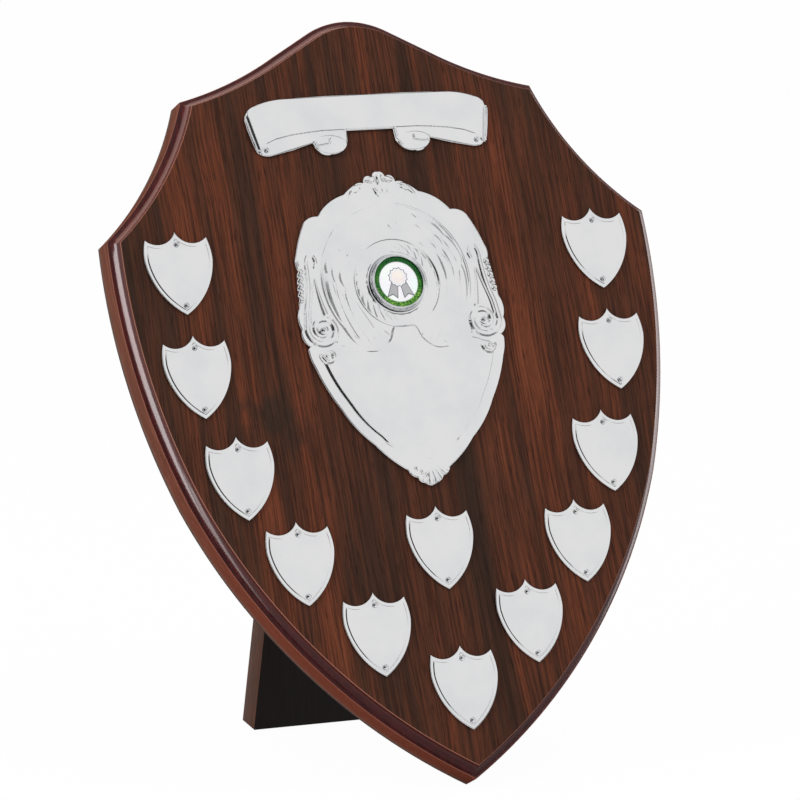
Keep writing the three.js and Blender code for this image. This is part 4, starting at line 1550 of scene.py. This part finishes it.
    def add_shell(self, made: Relief) -> None:
        """Adds the shell that fans out to the tip, the arc over it and the dents beside it.

        Args:
            made: The relief to add to.
        """
        x, y = made.x, made.y + self.outline.below - self.shell_rise
        reach = np.hypot(x, y)
        share = np.arctan2(x, -y) / self.shell_spread
        flute = np.abs(np.cos(math.pi * self.shell_flutes * share)) ** 0.6
        window = made.eased((0.5 + 0.07 - np.abs(share)) / 0.05) * made.eased((reach - 2.5) / 5)
        edge = made.eased((15.0 - reach) / 3)
        made.crest = np.maximum(made.crest, window * edge * 0.045 * reach * flute)
        root = Vector((1.0, self.shell_rise - self.outline.below + 4.4))
        made.roll(arc_path(root, 4.6, 205, 330, 14), [0.9], rise=0.14, crown=Crown.SOFT)
        dents = Relief(made.x, made.y)
        for place in path_of(*self.shell_dents):
            line = [place, place + Vector((0.4, -1.7))]
            dents.roll(line, [0.75, 0.4], rise=0.75, crown=Crown.SOFT)
        made.base -= dents.crest

    def build(self, silver: Material) -> None:
        """Builds and dresses the shield.

        Args:
            silver: Its material.
        """
        plate = bmesh.new()
        press_sheet(plate, self.columns, sum(self.rows), self.sheet, self.relief, ring=True)
        place = BOARD @ Matrix.Translation(FIT.centre + Vector((0, 0, FIT.seat)))
        name, node = "pressed_centre", "centre_shield"
        finished(plate, name, [silver], place, Body.PLAQUE, [node], crease=70)


def smooth_path(points: Path, cuts: int) -> list[Vector]:
    """Rounds a path by a curve through its points.

    Args:
        points: The points to pass through.
        cuts: How many steps lie between two of them.

    Returns:
        The rounded path.
    """
    ends = [points[0] * 2 - points[1], *points, points[-1] * 2 - points[-2]]
    made: list[Vector] = []
    for a, b, c, d in zip(ends, ends[1:], ends[2:], ends[3:]):
        for k in range(cuts):
            t = k / cuts
            bend = (c - a) * t + (a * 2 - b * 5 + c * 4 - d) * t**2 + (b * 3 - a - c * 3 + d) * t**3
            made.append(b + bend / 2)
    return made + [points[-1].copy()]


def inner_border(outline: Outline, inset: float, first: float, last: float) -> list[Vector]:
    """Gives a line inside the right half of an outline, from its bottom end to its top end.

    Args:
        outline: The outline.
        inset: How far inside the line runs.
        first: One end as a share of the outline's reach.
        last: The other end as a share of the outline's reach.

    Returns:
        The points between both ends.
    """
    points = resampled(outline.closed(), 400, closed=True)
    before, after = np.roll(points[:-1], 1, axis=0), np.roll(points[:-1], -1, axis=0)
    along = after - before
    along /= np.hypot(*along.T)[:, None]
    moved = points[:-1] + inset * np.column_stack([-along[:, 1], along[:, 0]])
    levels = sorted(outline.place((0, share)).y for share in (first, last))
    kept = [Vector(p) for p in moved[:200] if p[0] > 0 and levels[0] < p[1] < levels[1]]
    return smooth_path(kept[::3], 2)


def press_sheet(
    bm: Mesh, columns: int, rows: int, sheet: Sheet, relief: Heights, ring: bool
) -> None:
    """Builds a pressed plate: a fine sheet with relief, a rim down to its seat and a flat back.

    Args:
        bm: The mesh to add to.
        columns: How many faces the sheet has one way.
        rows: How many faces it has the other way.
        sheet: Turns the grid's places into places in millimetres and distances from the edge.
        relief: Turns those into heights.
        ring: Whether the sheet goes round a hole.
    """
    verts = bmesh.ops.create_grid(bm, x_segments=columns, y_segments=rows, size=0.5)["verts"]
    square = np.array([(v.co.x + 0.5, v.co.y + 0.5) for v in verts])
    x, y, from_edge = sheet(square[:, 0], square[:, 1])
    z = relief(x, y, from_edge)
    for vert, place in zip(verts, np.column_stack([x, y, z]).tolist()):
        vert.co = place
    bmesh.ops.remove_doubles(bm, verts=bm.verts[:], dist=MERGED)
    rim = [e for e in bm.edges if e.is_boundary]
    made = bmesh.ops.extrude_edge_only(bm, edges=rim)["geom"]
    foot = [g for g in made if isinstance(g, bmesh.types.BMVert)]
    for vert in foot:
        vert.co.z = 0
    bottom = [g for g in made if isinstance(g, bmesh.types.BMEdge) and g.is_boundary]
    close = bmesh.ops.bridge_loops if ring else bmesh.ops.edgeloop_fill
    close(bm, edges=bottom)
    bmesh.ops.recalc_face_normals(bm, faces=bm.faces[:])


@dataclass
class TitleScroll:
    """The ribbon plate over the centre shield, with rolled ends and two curled tails.

    Attributes:
        half_width: Half its width.
        height: Its height.
        thickness: Height of its plane.
        above_centre: How far its foot lies above the top of the centre shield.
        columns: How many columns of faces it has.
        rows: How many rows of faces it has.
        foot_rows: The outline of the right half's foot, as shares of half width and height.
        side_rows: The outline of its right side.
        top_rows: The outline of its top.
        crease: Line of the step along its foot, as places to the right and heights.
        groove: Place, slant and depth of the groove beside each rolled end.
        curl: Middle of the oval curl of each tail.
        fold: The line of the fold over each curl.
    """

    half_width: float = 62.0
    height: float = 28.6
    thickness: float = 0.92
    above_centre: float = 9.2
    columns: int = 420
    rows: int = 120
    foot_rows: tuple[Row, ...] = (
        (0, 0.395, 0), (0.19, 0.395, 0), (0.196, 0.2, 0.17), (0.34, 0, 0.17), (0.472, 0.14, 0),
        (0.479, 0.215, 0.01), (0.82, 0.035, 0.13), (0.945, 0.12, 0),
    )
    side_rows: tuple[Row, ...] = ((0.945, 0.12, 0.02), (1, 0.65, 0.16), (0.9, 0.89, 0))
    top_rows: tuple[Row, ...] = ((0.9, 0.89, 0.05), (0.64, 0.99, 0.005), (0, 1, 0))
    crease: tuple[Point, ...] = (
        (0.0, 12.0), (24.0, 12.0), (30.0, 11.6), (40.0, 10.6), (48.0, 9.0), (53.0, 7.0),
        (55.6, 4.6), (56.6, 2.6),
    )
    groove: Triple = (57.9, 0.2, 0.78)
    curl: Point = (21.3, 4.9)
    fold: tuple[Point, ...] = ((28.6, 4.6), (24.5, 5.0), (21.4, 5.6), (21.2, 7.9))

    def edge(self, rows: tuple[Row, ...]) -> list[Vector]:
        """Gives one edge of the right half as points."""
        return Outline(rows, self.half_width, self.height).right_half()

    def sheet(self, u: Grid, v: Grid) -> tuple[Grid, Grid, Grid]:
        """Stretches a square grid between the four edges of the ribbon.

        Args:
            u: The grid's places from left to right, from 0 to 1.
            v: The grid's places from the foot up, from 0 to 1.

        Returns:
            The places in millimetres, and how far each lies from the edge.
        """
        foot, side, top = map(self.edge, (self.foot_rows, self.side_rows, self.top_rows))
        whole_foot = mirrored(list(reversed(foot))) + foot[1:]
        whole_top = mirrored(top) + list(reversed(top))[1:]
        low = resampled(whole_foot, self.columns, closed=False)
        high = resampled(whole_top, self.columns, closed=False)
        right = resampled(side, self.rows, closed=False)
        left = right * (-1, 1)
        i, j = np.rint(u * self.columns).astype(int), np.rint(v * self.rows).astype(int)
        u, v = u[:, None], v[:, None]
        left_ends = (1 - v) * low[0] + v * high[0]
        right_ends = (1 - v) * low[-1] + v * high[-1]
        corners = (1 - u) * left_ends + u * right_ends
        place = (1 - v) * low[i] + v * high[i] + (1 - u) * left[j] + u * right[j] - corners
        x, y = place.T
        left_side = mirrored(list(reversed(side)))[1:-1]
        outline = whole_foot + side[1:] + list(reversed(whole_top))[1:] + left_side
        return x, y, np.maximum(Relief(x, y).distance_inside(outline[::2]), 0)

    def relief(self, x: Grid, y: Grid, from_edge: Grid) -> Grid:
        """Works out the height of the ribbon.

        Args:
            x: Places to the right of its middle.
            y: Places above its foot.
            from_edge: Distance from its edge.

        Returns:
            The heights over the seat.
        """
        made = Relief(x, y)
        across = np.abs(x)
        made.plateau(y - np.interp(across, *zip(*self.crease)), 0.45, 0.5)
        place, slant, depth = self.groove
        inside = place + slant * (y - 4.3) - across
        made.base -= depth * (1 - made.eased(np.where(inside > 0, inside / 1.6, -inside / 0.6)))
        made.base += 0.35 * np.cos(np.clip(across / self.half_width, 0, 1) * math.pi / 2) ** 0.5
        right, up = across - self.curl[0], y - self.curl[1]
        made.plateau(4.5 * (1 - np.hypot(right / 8.6, (up - right * 0.04) / 4.5)), 0.55, 0.8)
        folds = Relief(x, y)
        folds.both_sides(path_of(*self.fold), [0.5], rise=0.9, crown=Crown.SOFT)
        rim = 0.22 * np.exp(-(((from_edge - 0.9) / 0.6) ** 2))
        round_off = 0.3 * (1 - np.clip(from_edge / 0.5, 0, 1)) ** 2
        return self.thickness + made.base + made.crest + rim - folds.crest - round_off

    def build(self, silver: Material) -> None:
        """Builds and dresses the scroll.

        Args:
            silver: Its material.
        """
        ribbon = bmesh.new()
        press_sheet(ribbon, self.columns, self.rows, self.sheet, self.relief, ring=False)
        foot = FIT.centre.y + FIT.centre_above + self.above_centre
        place = BOARD @ Matrix.Translation((0, foot, FIT.seat))
        name, node = "ribbon_scroll", "title_scroll"
        finished(ribbon, name, [silver], place, Body.PLAQUE, [node], crease=70)


@dataclass
class Holder:
    """The lipped ring in the middle and the printed disc that it holds.

    Attributes:
        disc_radius: Radius of the disc.
        disc_thickness: Thickness of the disc.
        lip: How far the lip reaches over the disc.
        wall: Thickness of the ring's wall.
        lip_thickness: Height of the lip.
        field_top: Height of the centre shield's field over its seat.
    """

    disc_radius: float = 12.5
    disc_thickness: float = 1.2
    lip: float = 0.4
    wall: float = 0.85
    lip_thickness: float = 0.6
    field_top: float = 1.9

    def ring_section(self) -> list[Point]:
        """Draws the ring's rounded section.

        Returns:
            Radius and height of its points.
        """
        bore, inner = self.disc_radius + FIT.seat_gap, self.disc_radius - self.lip
        outer = bore + self.wall
        shoulder = self.disc_thickness + 2 * FIT.seat_gap
        top = shoulder + self.lip_thickness - 0.05
        wall = [(bore, 0.0), (outer - 0.1, 0.0), (outer, 0.1), (outer - 0.02, 0.26)]
        slope = [(outer - 0.94, top - 0.14), (outer - 1.04, top - 0.04), (outer - 1.16, top)]
        lip = [(inner + 0.35, top), (inner + 0.1, top - 0.12), (inner, top - 0.4)]
        return wall + slope + lip + [(inner, shoulder), (bore, shoulder)]

    def build(self, chrome: Material) -> None:
        """Builds and dresses the ring, the disc and its print.

        Args:
            chrome: The ring's material.
        """
        under = FIT.centre + Vector((0, 0, FIT.seat + self.field_top + FIT.seat_gap))
        place, body = BOARD @ Matrix.Translation(under), Body.PLAQUE
        ring, disc = bmesh.new(), bmesh.new()
        turned(ring, self.ring_section(), steps=120, closed=True)
        node = "centre_holder"
        finished(ring, "lipped_ring", [chrome], place, body, [node], crease=60)
        disc_place = place @ Matrix.Translation((0, 0, FIT.seat_gap))
        rim, top = self.disc_radius, self.disc_thickness
        turns = [math.radians(a) for a in (0, 25, 50, 70, 90)]
        dome = [(rim * math.cos(a), top - 0.25 + 0.25 * math.sin(a)) for a in turns]
        section = [(0.0, 0.0), (rim - 0.1, 0.0), (rim, 0.1), *dome]
        turned(disc, section, steps=96, closed=False)
        glitter = DiscPrint().build(disc_place)
        finished(disc, "printed_disc", [glitter], disc_place, body, ["centre_disc"])
        Rosette(top=self.disc_thickness).build(disc_place)


@dataclass
class Rosette:
    """The plain rosette that is printed on the disc: a pearl over two ribbon tails.

    Attributes:
        top: Height of the disc's face.
        film: Thickness of the print.
        pearl_radius: Radius of the pearl.
        pearl_rise: How far the pearl lies above the disc's middle.
        petals: How far the frill's hollows and points reach past the pearl, in turn.
        frill_share: Size of the frill's pale middle as a share of the frill.
        tail: The outline of the right ribbon tail.
        tail_edge: The outline of its dark edge.
    """

    top: float
    film: float = 0.05
    pearl_radius: float = 3.1
    pearl_rise: float = 2.2
    petals: tuple[float, ...] = (1.1, 1.75) * 12
    frill_share: float = 0.93
    tail: tuple[Point, ...] = ((0.3, 1.0), (1.9, -7.4), (3.9, -5.6), (6.3, -6.6), (2.7, 1.6))
    tail_edge: tuple[Point, ...] = (
        (0.1, 1.2), (1.62, -8.05), (3.88, -6.1), (6.85, -7.15), (2.9, 1.9),
    )

    def printed(
        self, name: str, shapes: Sequence[Path], ink: Ink, place: Matrix, layer: int,
    ) -> None:
        """Prints flat shapes in one ink.

        Args:
            name: The print's name.
            shapes: The outlines of its shapes, anticlockwise.
            ink: The ink.
            place: The disc's place.
            layer: How many prints lie under it.
        """
        made = bmesh.new()
        low = self.top - self.film / 2 + layer * self.film / 2
        for outline in shapes:
            moulded(made, [(outline, low), (outline, low + self.film)])
        finished(made, name, [ink.build(place)], place, Body.PLAQUE)

    def around(self, radii: Sequence[float]) -> list[Vector]:
        """Gives evenly turned points at so many distances from the pearl's middle."""
        middle, count = Vector((0, self.pearl_rise)), len(radii)
        return [middle + polar(radius, FULL_TURN * i / count) for i, radius in enumerate(radii)]

    def build(self, place: Matrix) -> None:
        """Prints the tails, their dark edges and the pearl.

        Args:
            place: The disc's place.
        """
        dark = Ink("dark_ink", shade(70, 70, 74), shade(92, 92, 96))
        grey = Ink("grey_ink", shade(150, 150, 152), shade(176, 176, 178))
        pale = Ink("pale_ink", shade(214, 214, 218), shade(232, 232, 236))
        pearl = Ink("pearl_ink", shade(226, 208, 222), shade(238, 236, 214))
        tail, edge = path_of(*self.tail), path_of(*self.tail_edge)
        frill = [self.pearl_radius + petal for petal in self.petals]
        middle = [self.frill_share * radius for radius in frill]
        prints = (
            ("print_edges", [edge, mirrored(edge[::-1])], dark),
            ("print_tails", [tail, mirrored(tail[::-1])], grey),
            ("print_frill_edge", [self.around(frill)], dark),
            ("print_frill", [self.around(middle)], pale),
            ("print_pearl", [self.around([self.pearl_radius] * 40)], pearl),
        )
        for layer, (name, shapes, ink) in enumerate(prints):
            self.printed(name, shapes, ink, place, layer)


@dataclass
class StrutAndHinge:
    """The folding strut behind the board and its butt hinge.

    Attributes:
        foot_width: The strut's width at its foot.
        top_width: Its width at the hinge axis.
        thickness: Its thickness.
        lean: Its lean from upright when open, in radians.
        hinge_height: Height of the hinge axis up the board.
        hinge_length: Length of the hinge.
        leaf_width: Width of a leaf.
        leaf_thickness: Thickness of a leaf.
        knuckle_radius: Radius of the knuckles.
        pin_radius: Radius of the hinge pin.
        screw_spread: Distance between the two screws of a leaf.
        running_gap: Gap between pieces that turn past each other.
        knuckles: How many knuckles both leaves have together.
        screw_section: Radius and height of a screw's section, from its point to its head.
        screw_slot: Half the width and the depth of a screw's slot.
    """

    foot_width: float = 94.0
    top_width: float = 64.0
    thickness: float = 15.0
    lean: float = math.radians(7)
    hinge_height: float = 258.8
    hinge_length: float = 50.0
    leaf_width: float = 18.0
    leaf_thickness: float = 1.2
    knuckle_radius: float = 2.5
    pin_radius: float = 1.2
    screw_spread: float = 34.0
    running_gap: float = 0.4
    knuckles: int = 5
    screw_section: tuple[Point, ...] = (
        (0.0, -11.0), (1.1, -9.6), (1.25, -9.0), (1.25, -1.35), (2.5, -0.12), (2.58, 0.0),
        (0.0, 0.0),
    )
    screw_slot: Point = (0.35, 0.5)

    @property
    def axis_offset(self) -> float:
        """How far the hinge axis lies behind the board's back."""
        return self.knuckle_radius + FIT.seat_gap

    @property
    def axis(self) -> Vector:
        """Middle of the hinge axis in the part's frame."""
        return BOARD @ Vector((0, self.hinge_height, -self.axis_offset))

    def strut_place(self) -> Matrix:
        """Gives the matrix from the strut's own millimetres to the part's frame."""
        turn = Matrix.Rotation(math.pi / 2 + self.lean, 4, "X")
        return Matrix.Translation(self.axis) @ turn @ Matrix.Scale(MM, 4)

    def board_place(self) -> Matrix:
        """Gives the matrix from the board's millimetres about the hinge to the part's frame."""
        return BOARD @ Matrix.Translation((0, self.hinge_height, -self.axis_offset))

    def build_strut(self) -> None:
        """Builds the tapered board with its bevelled top and square foot."""
        reach = self.axis.z / MM + self.axis_offset * math.sin(self.lean)
        reach /= math.cos(self.lean)
        front = -self.axis_offset
        rear = front - self.thickness
        open_angle = FIT.lean + self.lean
        stop = self.axis_offset - FIT.seat_gap
        top = {z: (stop - z * math.cos(open_angle)) / math.sin(open_angle) for z in (front, rear)}
        made = bmesh.new()
        for vert in bmesh.ops.create_cube(made, size=2)["verts"]:
            z = front if vert.co.z > 0 else rear
            y = top[z] if vert.co.y > 0 else -reach
            half = (self.top_width + (self.foot_width - self.top_width) * -y / reach) / 2
            vert.co = Vector((math.copysign(half, vert.co.x), y, z))
        made.normal_update()
        for face in made.faces:
            face.material_index = 1 if abs(face.normal.x) > 0.5 else 0
        round_edges(made, made.edges[:], 0.5, 3)
        place = self.strut_place()
        # The front is a dark stain made darker still by painted shade, since it faces down into
        # shadow; the edges keep the lighter brown.
        flat = StainedBoard("strut_stain_and_shade", shade(13, 9, 8), shade(26, 18, 15), 0.6).build(place)
        edge = StainedBoard("strut_edges", shade(49, 29, 20), shade(80, 49, 35), 0.6).build(place)
        finished(made, "folding_strut", [flat, edge], place, Body.STRUT, ["strut"])

    def leaf(self, side: int, first: int) -> Mesh:
        """Builds one leaf with its knuckles, about the hinge axis.

        Args:
            side: 1 for the leaf on the board, -1 for the one on the strut.
            first: The first knuckle that it has, of every two.

        Returns:
            The mesh.
        """
        made = bmesh.new()
        clear = self.knuckle_radius + self.running_gap
        depth = side * (self.knuckle_radius - self.leaf_thickness / 2)
        half = Vector((self.hinge_length / 2, self.leaf_width / 2, self.leaf_thickness / 2))
        middle = Vector((0, -clear - self.leaf_width / 2, depth))
        rounded_block(made, middle - half, middle + half, 0.2, 2)
        pitch = self.hinge_length / self.knuckles
        end = (pitch - self.running_gap) / 2
        radius, bore = self.knuckle_radius, self.pin_radius + FIT.seat_gap
        half_section = [(bore, -end), (radius - 0.15, -end), (radius, -end + 0.15)]
        section = half_section + [(r, -z) for r, z in reversed(half_section)]
        for i in range(first, self.knuckles, 2):
            x = (i + 0.5) * pitch - self.hinge_length / 2
            barrel = bmesh.new()
            turned(barrel, section, steps=36, closed=True)
            barrel.transform(Matrix.Translation((x, 0, 0)) @ Matrix.Rotation(math.pi / 2, 4, "Y"))
            spare = bpy.data.meshes.new("knuckle")
            barrel.to_mesh(spare)
            made.from_mesh(spare)
            barrel.free()
            bpy.data.meshes.remove(spare)
            low = Vector((x - end, -clear - 0.5, depth - self.leaf_thickness / 2))
            high = Vector((x + end, -bore - 0.1, depth + self.leaf_thickness / 2))
            rounded_block(made, low, high, 0.1, 1)
        return made

    def screw(self) -> Mesh:
        """Builds a countersunk screw with a slot.

        Returns:
            The mesh, its head up and level with zero.
        """
        half_slot, depth = self.screw_slot
        made = bmesh.new()
        turned(made, self.screw_section, steps=32, closed=False)
        for x in (-half_slot, half_slot):
            whole = made.verts[:] + made.edges[:] + made.faces[:]
            cut = {"plane_co": (x, 0, 0), "plane_no": (1, 0, 0), "dist": 1e-5}
            bmesh.ops.bisect_plane(made, geom=whole, **cut)
        upper = [(f, f.calc_center_median()) for f in made.faces if f.normal.z > 0.9]
        slot = [f for f, middle in upper if abs(middle.x) < half_slot and middle.z > -0.05]
        pocket = bmesh.ops.extrude_face_region(made, geom=slot)["geom"]
        lowered = [g for g in pocket if isinstance(g, bmesh.types.BMVert)]
        bmesh.ops.translate(made, verts=lowered, vec=(0, 0, -depth))
        return made

    def build(self, brass: Material) -> None:
        """Builds and dresses the strut, the leaves, the pin and the screws.

        Args:
            brass: The hinge's material.
        """
        self.build_strut()
        on_board, on_strut = self.board_place(), self.strut_place()
        metal, board, strut = [brass], Body.PLAQUE, Body.STRUT
        board_leaf, strut_leaf = self.leaf(1, 0), self.leaf(-1, 1)
        finished(board_leaf, "board_leaf", metal, on_board, board, ["hinge_leaf_board"])
        finished(strut_leaf, "strut_leaf", metal, on_strut, strut, ["hinge_leaf_strut"])
        pin = bmesh.new()
        half = (self.hinge_length - self.running_gap) / 2
        radius = self.pin_radius
        section = [(0.0, -half), (radius - 0.2, -half), (radius, -half + 0.2)]
        section += [(r, -z) for r, z in reversed(section)]
        turned(pin, section, steps=32, closed=False)
        pin.transform(Matrix.Rotation(math.pi / 2, 4, "Y"))
        finished(pin, "pivot_rod", metal, on_board, board, ["hinge_pin"])
        drop = self.knuckle_radius + self.leaf_width / 2
        face = self.knuckle_radius - self.leaf_thickness
        over = Matrix.Rotation(math.pi, 4, "X")
        for number, x in enumerate((-self.screw_spread / 2, self.screw_spread / 2), 1):
            turn = Matrix.Rotation(math.radians(35 * number), 4, "Z")
            board_at = on_board @ (Matrix.Translation((x, -drop, face)) @ over @ turn)
            strut_at = on_strut @ (Matrix.Translation((x, -drop, -face)) @ turn)
            for side, at, body in (("board", board_at, board), ("strut", strut_at, strut)):
                name, node = f"{side}_woodscrew_{number}", f"{side}_screw_{number}"
                finished(self.screw(), name, metal, at, body, [node])


@dataclass
class Studio:
    """The pale floor, the cards, the lights and the camera.

    Attributes:
        azimuth: The camera's direction round the object, in radians.
        elevation: Its direction above the horizon, in radians.
        distance: Its distance from the aim point, in metres.
        aim: The point that it looks at, in metres.
        lens: Its focal length in millimetres.
        level: Strength of the light from all round.
        floor_radius: Radius of the floor, in metres.
        floor_glow: How white the floor shows, from 0 to 1.
        cards: Name, azimuth, elevation, distance, size and grey of each card.
        lacquered: The pieces that the sheens light.
    """

    azimuth: float = math.radians(-23.83)
    elevation: float = math.radians(9.51)
    distance: float = 2.5216
    aim: Triple = (-0.0016, 0.0005, 0.1675)
    lens: float = 244.5
    level: float = 0.72
    floor_radius: float = 9.0
    floor_glow: float = 0.97
    cards: tuple[tuple[str, float, float, float, Point, float], ...] = (
        ("dark_card", -42, 15, 1.05, (0.76, 0.88), 0.03),
        ("corner_card", -34, -11.5, 0.5, (0.4, 0.14), 0.03),
        ("grey_card", -13, 30, 1.2, (0.62, 0.6), 0.4),
        ("low_card", 25, -9, 0.45, (0.5, 0.19), 0.3),
        ("high_card", 125, 56, 1.6, (0.9, 0.7), 0.5),
        ("side_card", 78, 32, 2.6, (1.2, 1.4), 0.6),
        ("upper_card", -62, 60, 1.6, (1.0, 0.8), 0.35),
    )
    lacquered: bpy.types.Collection = field(init=False)

    @staticmethod
    def direction(azimuth: float, elevation: float) -> Vector:
        """Gives the direction towards a place round the object."""
        flat = math.cos(elevation)
        return Vector((math.sin(azimuth) * flat, -math.cos(azimuth) * flat, math.sin(elevation)))

    def build_camera(self) -> None:
        """Sets the camera at the photograph's viewing angle."""
        data = bpy.data.cameras.new("camera")
        data.lens = self.lens
        data.sensor_width = 36
        data.clip_start, data.clip_end = 0.05, 60
        camera = bpy.data.objects.new("camera", data)
        back = self.direction(self.azimuth, self.elevation)
        camera.location = Vector(self.aim) + back * self.distance
        camera.rotation_euler = (-back).to_track_quat("-Z", "Y").to_euler()
        bpy.context.scene.collection.objects.link(camera)
        bpy.context.scene.camera = camera

    def lamp(
        self, name: str, place: Triple, size: Point, power: float, target: Triple | None = None
    ) -> bpy.types.Object:
        """Adds a soft lamp that polished surfaces don't show.

        Args:
            name: Its name.
            place: Its azimuth and elevation in degrees and its distance in metres.
            size: Its width and height, in metres.
            power: Its power, in watts.
            target: The place that it faces, or none for the object's middle.

        Returns:
            The lamp.
        """
        data = bpy.data.lights.new(name, "AREA")
        data.shape = "RECTANGLE"
        data.size, data.size_y = size
        data.energy = power
        lamp = bpy.data.objects.new(name, data)
        azimuth, elevation, distance = place
        away = self.direction(math.radians(azimuth), math.radians(elevation))
        lamp.location = Vector(self.aim) + away * distance
        towards = Vector(target or self.aim) - lamp.location
        lamp.rotation_euler = towards.to_track_quat("-Z", "Y").to_euler()
        lamp.visible_camera = lamp.visible_glossy = False
        bpy.context.scene.collection.objects.link(lamp)
        return lamp

    def sheen(self, lamp: bpy.types.Object, colour: Triple = (1, 1, 1)) -> None:
        """Turns a lamp into one that only shows as a highlight in the lacquered moulding.

        Args:
            lamp: The lamp.
            colour: The colour of its light.
        """
        lamp.data.color = colour
        lamp.visible_glossy = True
        lamp.visible_diffuse = False
        lamp.light_linking.receiver_collection = self.lacquered

    @staticmethod
    def seen_directly(nodes: Nodes) -> Socket:
        """Tells the rays that show the background: from the camera, in a gloss or through glass.

        Args:
            nodes: The tree to add to.

        Returns:
            The socket that holds 1 for those rays and 0 for others.
        """
        path = nodes.node("ShaderNodeLightPath", {})
        total = path.outputs["Is Camera Ray"]
        for name in ("Is Glossy Ray", "Is Transmission Ray"):
            total = nodes.sum("MAXIMUM", total, path.outputs[name])
        return total

    def build_world(self) -> None:
        """Lights the scene evenly, with a white background."""
        world = bpy.data.worlds.new("studio")
        bpy.context.scene.world = world
        world.use_nodes = True
        made = Nodes(world.node_tree)
        light = made.tree.nodes["Background"]
        made.put(light, "Color", (1, 1, 1, 1))
        made.put(light, "Strength", self.level)
        white = made.node("ShaderNodeBackground", {"Color": (1, 1, 1, 1)})
        inputs = {0: self.seen_directly(made), 1: light.outputs[0], 2: white.outputs[0]}
        mix = made.node("ShaderNodeMixShader", inputs)
        made.put(made.tree.nodes["World Output"], 0, mix.outputs[0])

    def build_floor(self) -> None:
        """Lays a pale floor that keeps the object's shadow."""
        pale = {"Base_Color": (0.86, 0.86, 0.86, 1), "Roughness": 0.9, "Specular_IOR_Level": 0.0}
        made = Shader("pale_floor", **pale)
        share = made.sum("MULTIPLY", self.seen_directly(made), self.floor_glow)
        glow = made.node("ShaderNodeEmission", {}).outputs[0]
        mix = made.node("ShaderNodeMixShader", {0: share, 1: made.surface.outputs[0], 2: glow})
        made.put(made.tree.nodes["Material Output"], 0, mix.outputs[0])
        bm = bmesh.new()
        bmesh.ops.create_circle(bm, cap_ends=True, segments=96, radius=self.floor_radius)
        floor = linked(bm, "floor", [made.material])

    def card(
        self, name: str, azimuth: float, elevation: float, distance: float, size: Point, grey: float
    ) -> None:
        """Hangs a card that only the reflections in polished metal show.

        Args:
            name: Its name.
            azimuth: Its direction round the object, in degrees.
            elevation: Its direction above the horizon, in degrees.
            distance: Its distance, in metres.
            size: Its width and height, in metres.
            grey: How light it is, from 0 to 1.
        """
        bm = bmesh.new()
        verts = bmesh.ops.create_grid(bm, x_segments=1, y_segments=1, size=0.5)["verts"]
        bmesh.ops.scale(bm, verts=verts, vec=(*size, 1))
        away = self.direction(math.radians(azimuth), math.radians(elevation))
        turn = (-away).to_track_quat("Z", "Y").to_matrix().to_4x4()
        bm.transform(Matrix.Translation(Vector(self.aim) + away * distance) @ turn)
        finish = {"Base_Color": (grey, grey, grey, 1), "Roughness": 1.0, "Specular_IOR_Level": 0.0}
        card = linked(bm, name, [Shader(name, **finish).material])
        card.visible_camera = card.visible_diffuse = False
        card.visible_shadow = card.visible_transmission = False

    def build(self) -> None:
        """Builds the floor, the cards, the lights and the camera."""
        bpy.context.scene.view_settings.view_transform = "Standard"
        self.lacquered = bpy.data.collections.new("lacquered")
        self.lacquered.objects.link(bpy.data.objects["moulded_core"])
        self.build_world()
        self.build_floor()
        for card in self.cards:
            self.card(*card)
        self.lamp("left_softbox", (-76, 24, 1.7), (0.5, 0.5), 14)
        self.lamp("top_softbox", (30, 60, 2.2), (1.2, 1.2), 12)
        spot = (-0.47, -0.08, 1.0)
        self.sheen(self.lamp("left_sheen", (-80, 10, 0.9), (0.8, 1.0), 62))
        self.sheen(self.lamp("floor_sheen", (-76, -18, 0.5), (0.3, 0.4), 5, spot))
        self.sheen(self.lamp("right_sheen", (68, 21, 1.2), (1.1, 0.8), 48))
        self.sheen(self.lamp("back_sheen", (185, 55, 1.6), (3.2, 2.4), 140), (1, 0.66, 0.56))
        self.build_camera()


def main() -> None:
    """Builds every sub-assembly in order."""
    logging.basicConfig(level=logging.INFO, format="%(name)s %(message)s")
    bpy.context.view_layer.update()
    silver = PolishedMetal(
        "silver_plate", shade(222, 222, 223), shade(215, 216, 217), 0.1, 0.16, 0.000004
    ).build(BOARD)
    chrome = PolishedMetal(
        "bright_chrome", shade(216, 217, 219), shade(204, 206, 209), 0.07, 0.12, 0.000004
    ).build(BOARD)
    brass = PolishedMetal(
        "plain_brass", shade(196, 160, 92), shade(150, 116, 62), 0.24, 0.36, 0.00002
    ).build(BOARD)
    Woodwork().build()
    NamePlates().build(silver)
    CentreShield().build(silver)
    TitleScroll().build(silver)
    Holder().build(chrome)
    Pins().build(chrome)
    StrutAndHinge().build(brass)
    Studio().build()


if __name__ == "__main__":
    main()
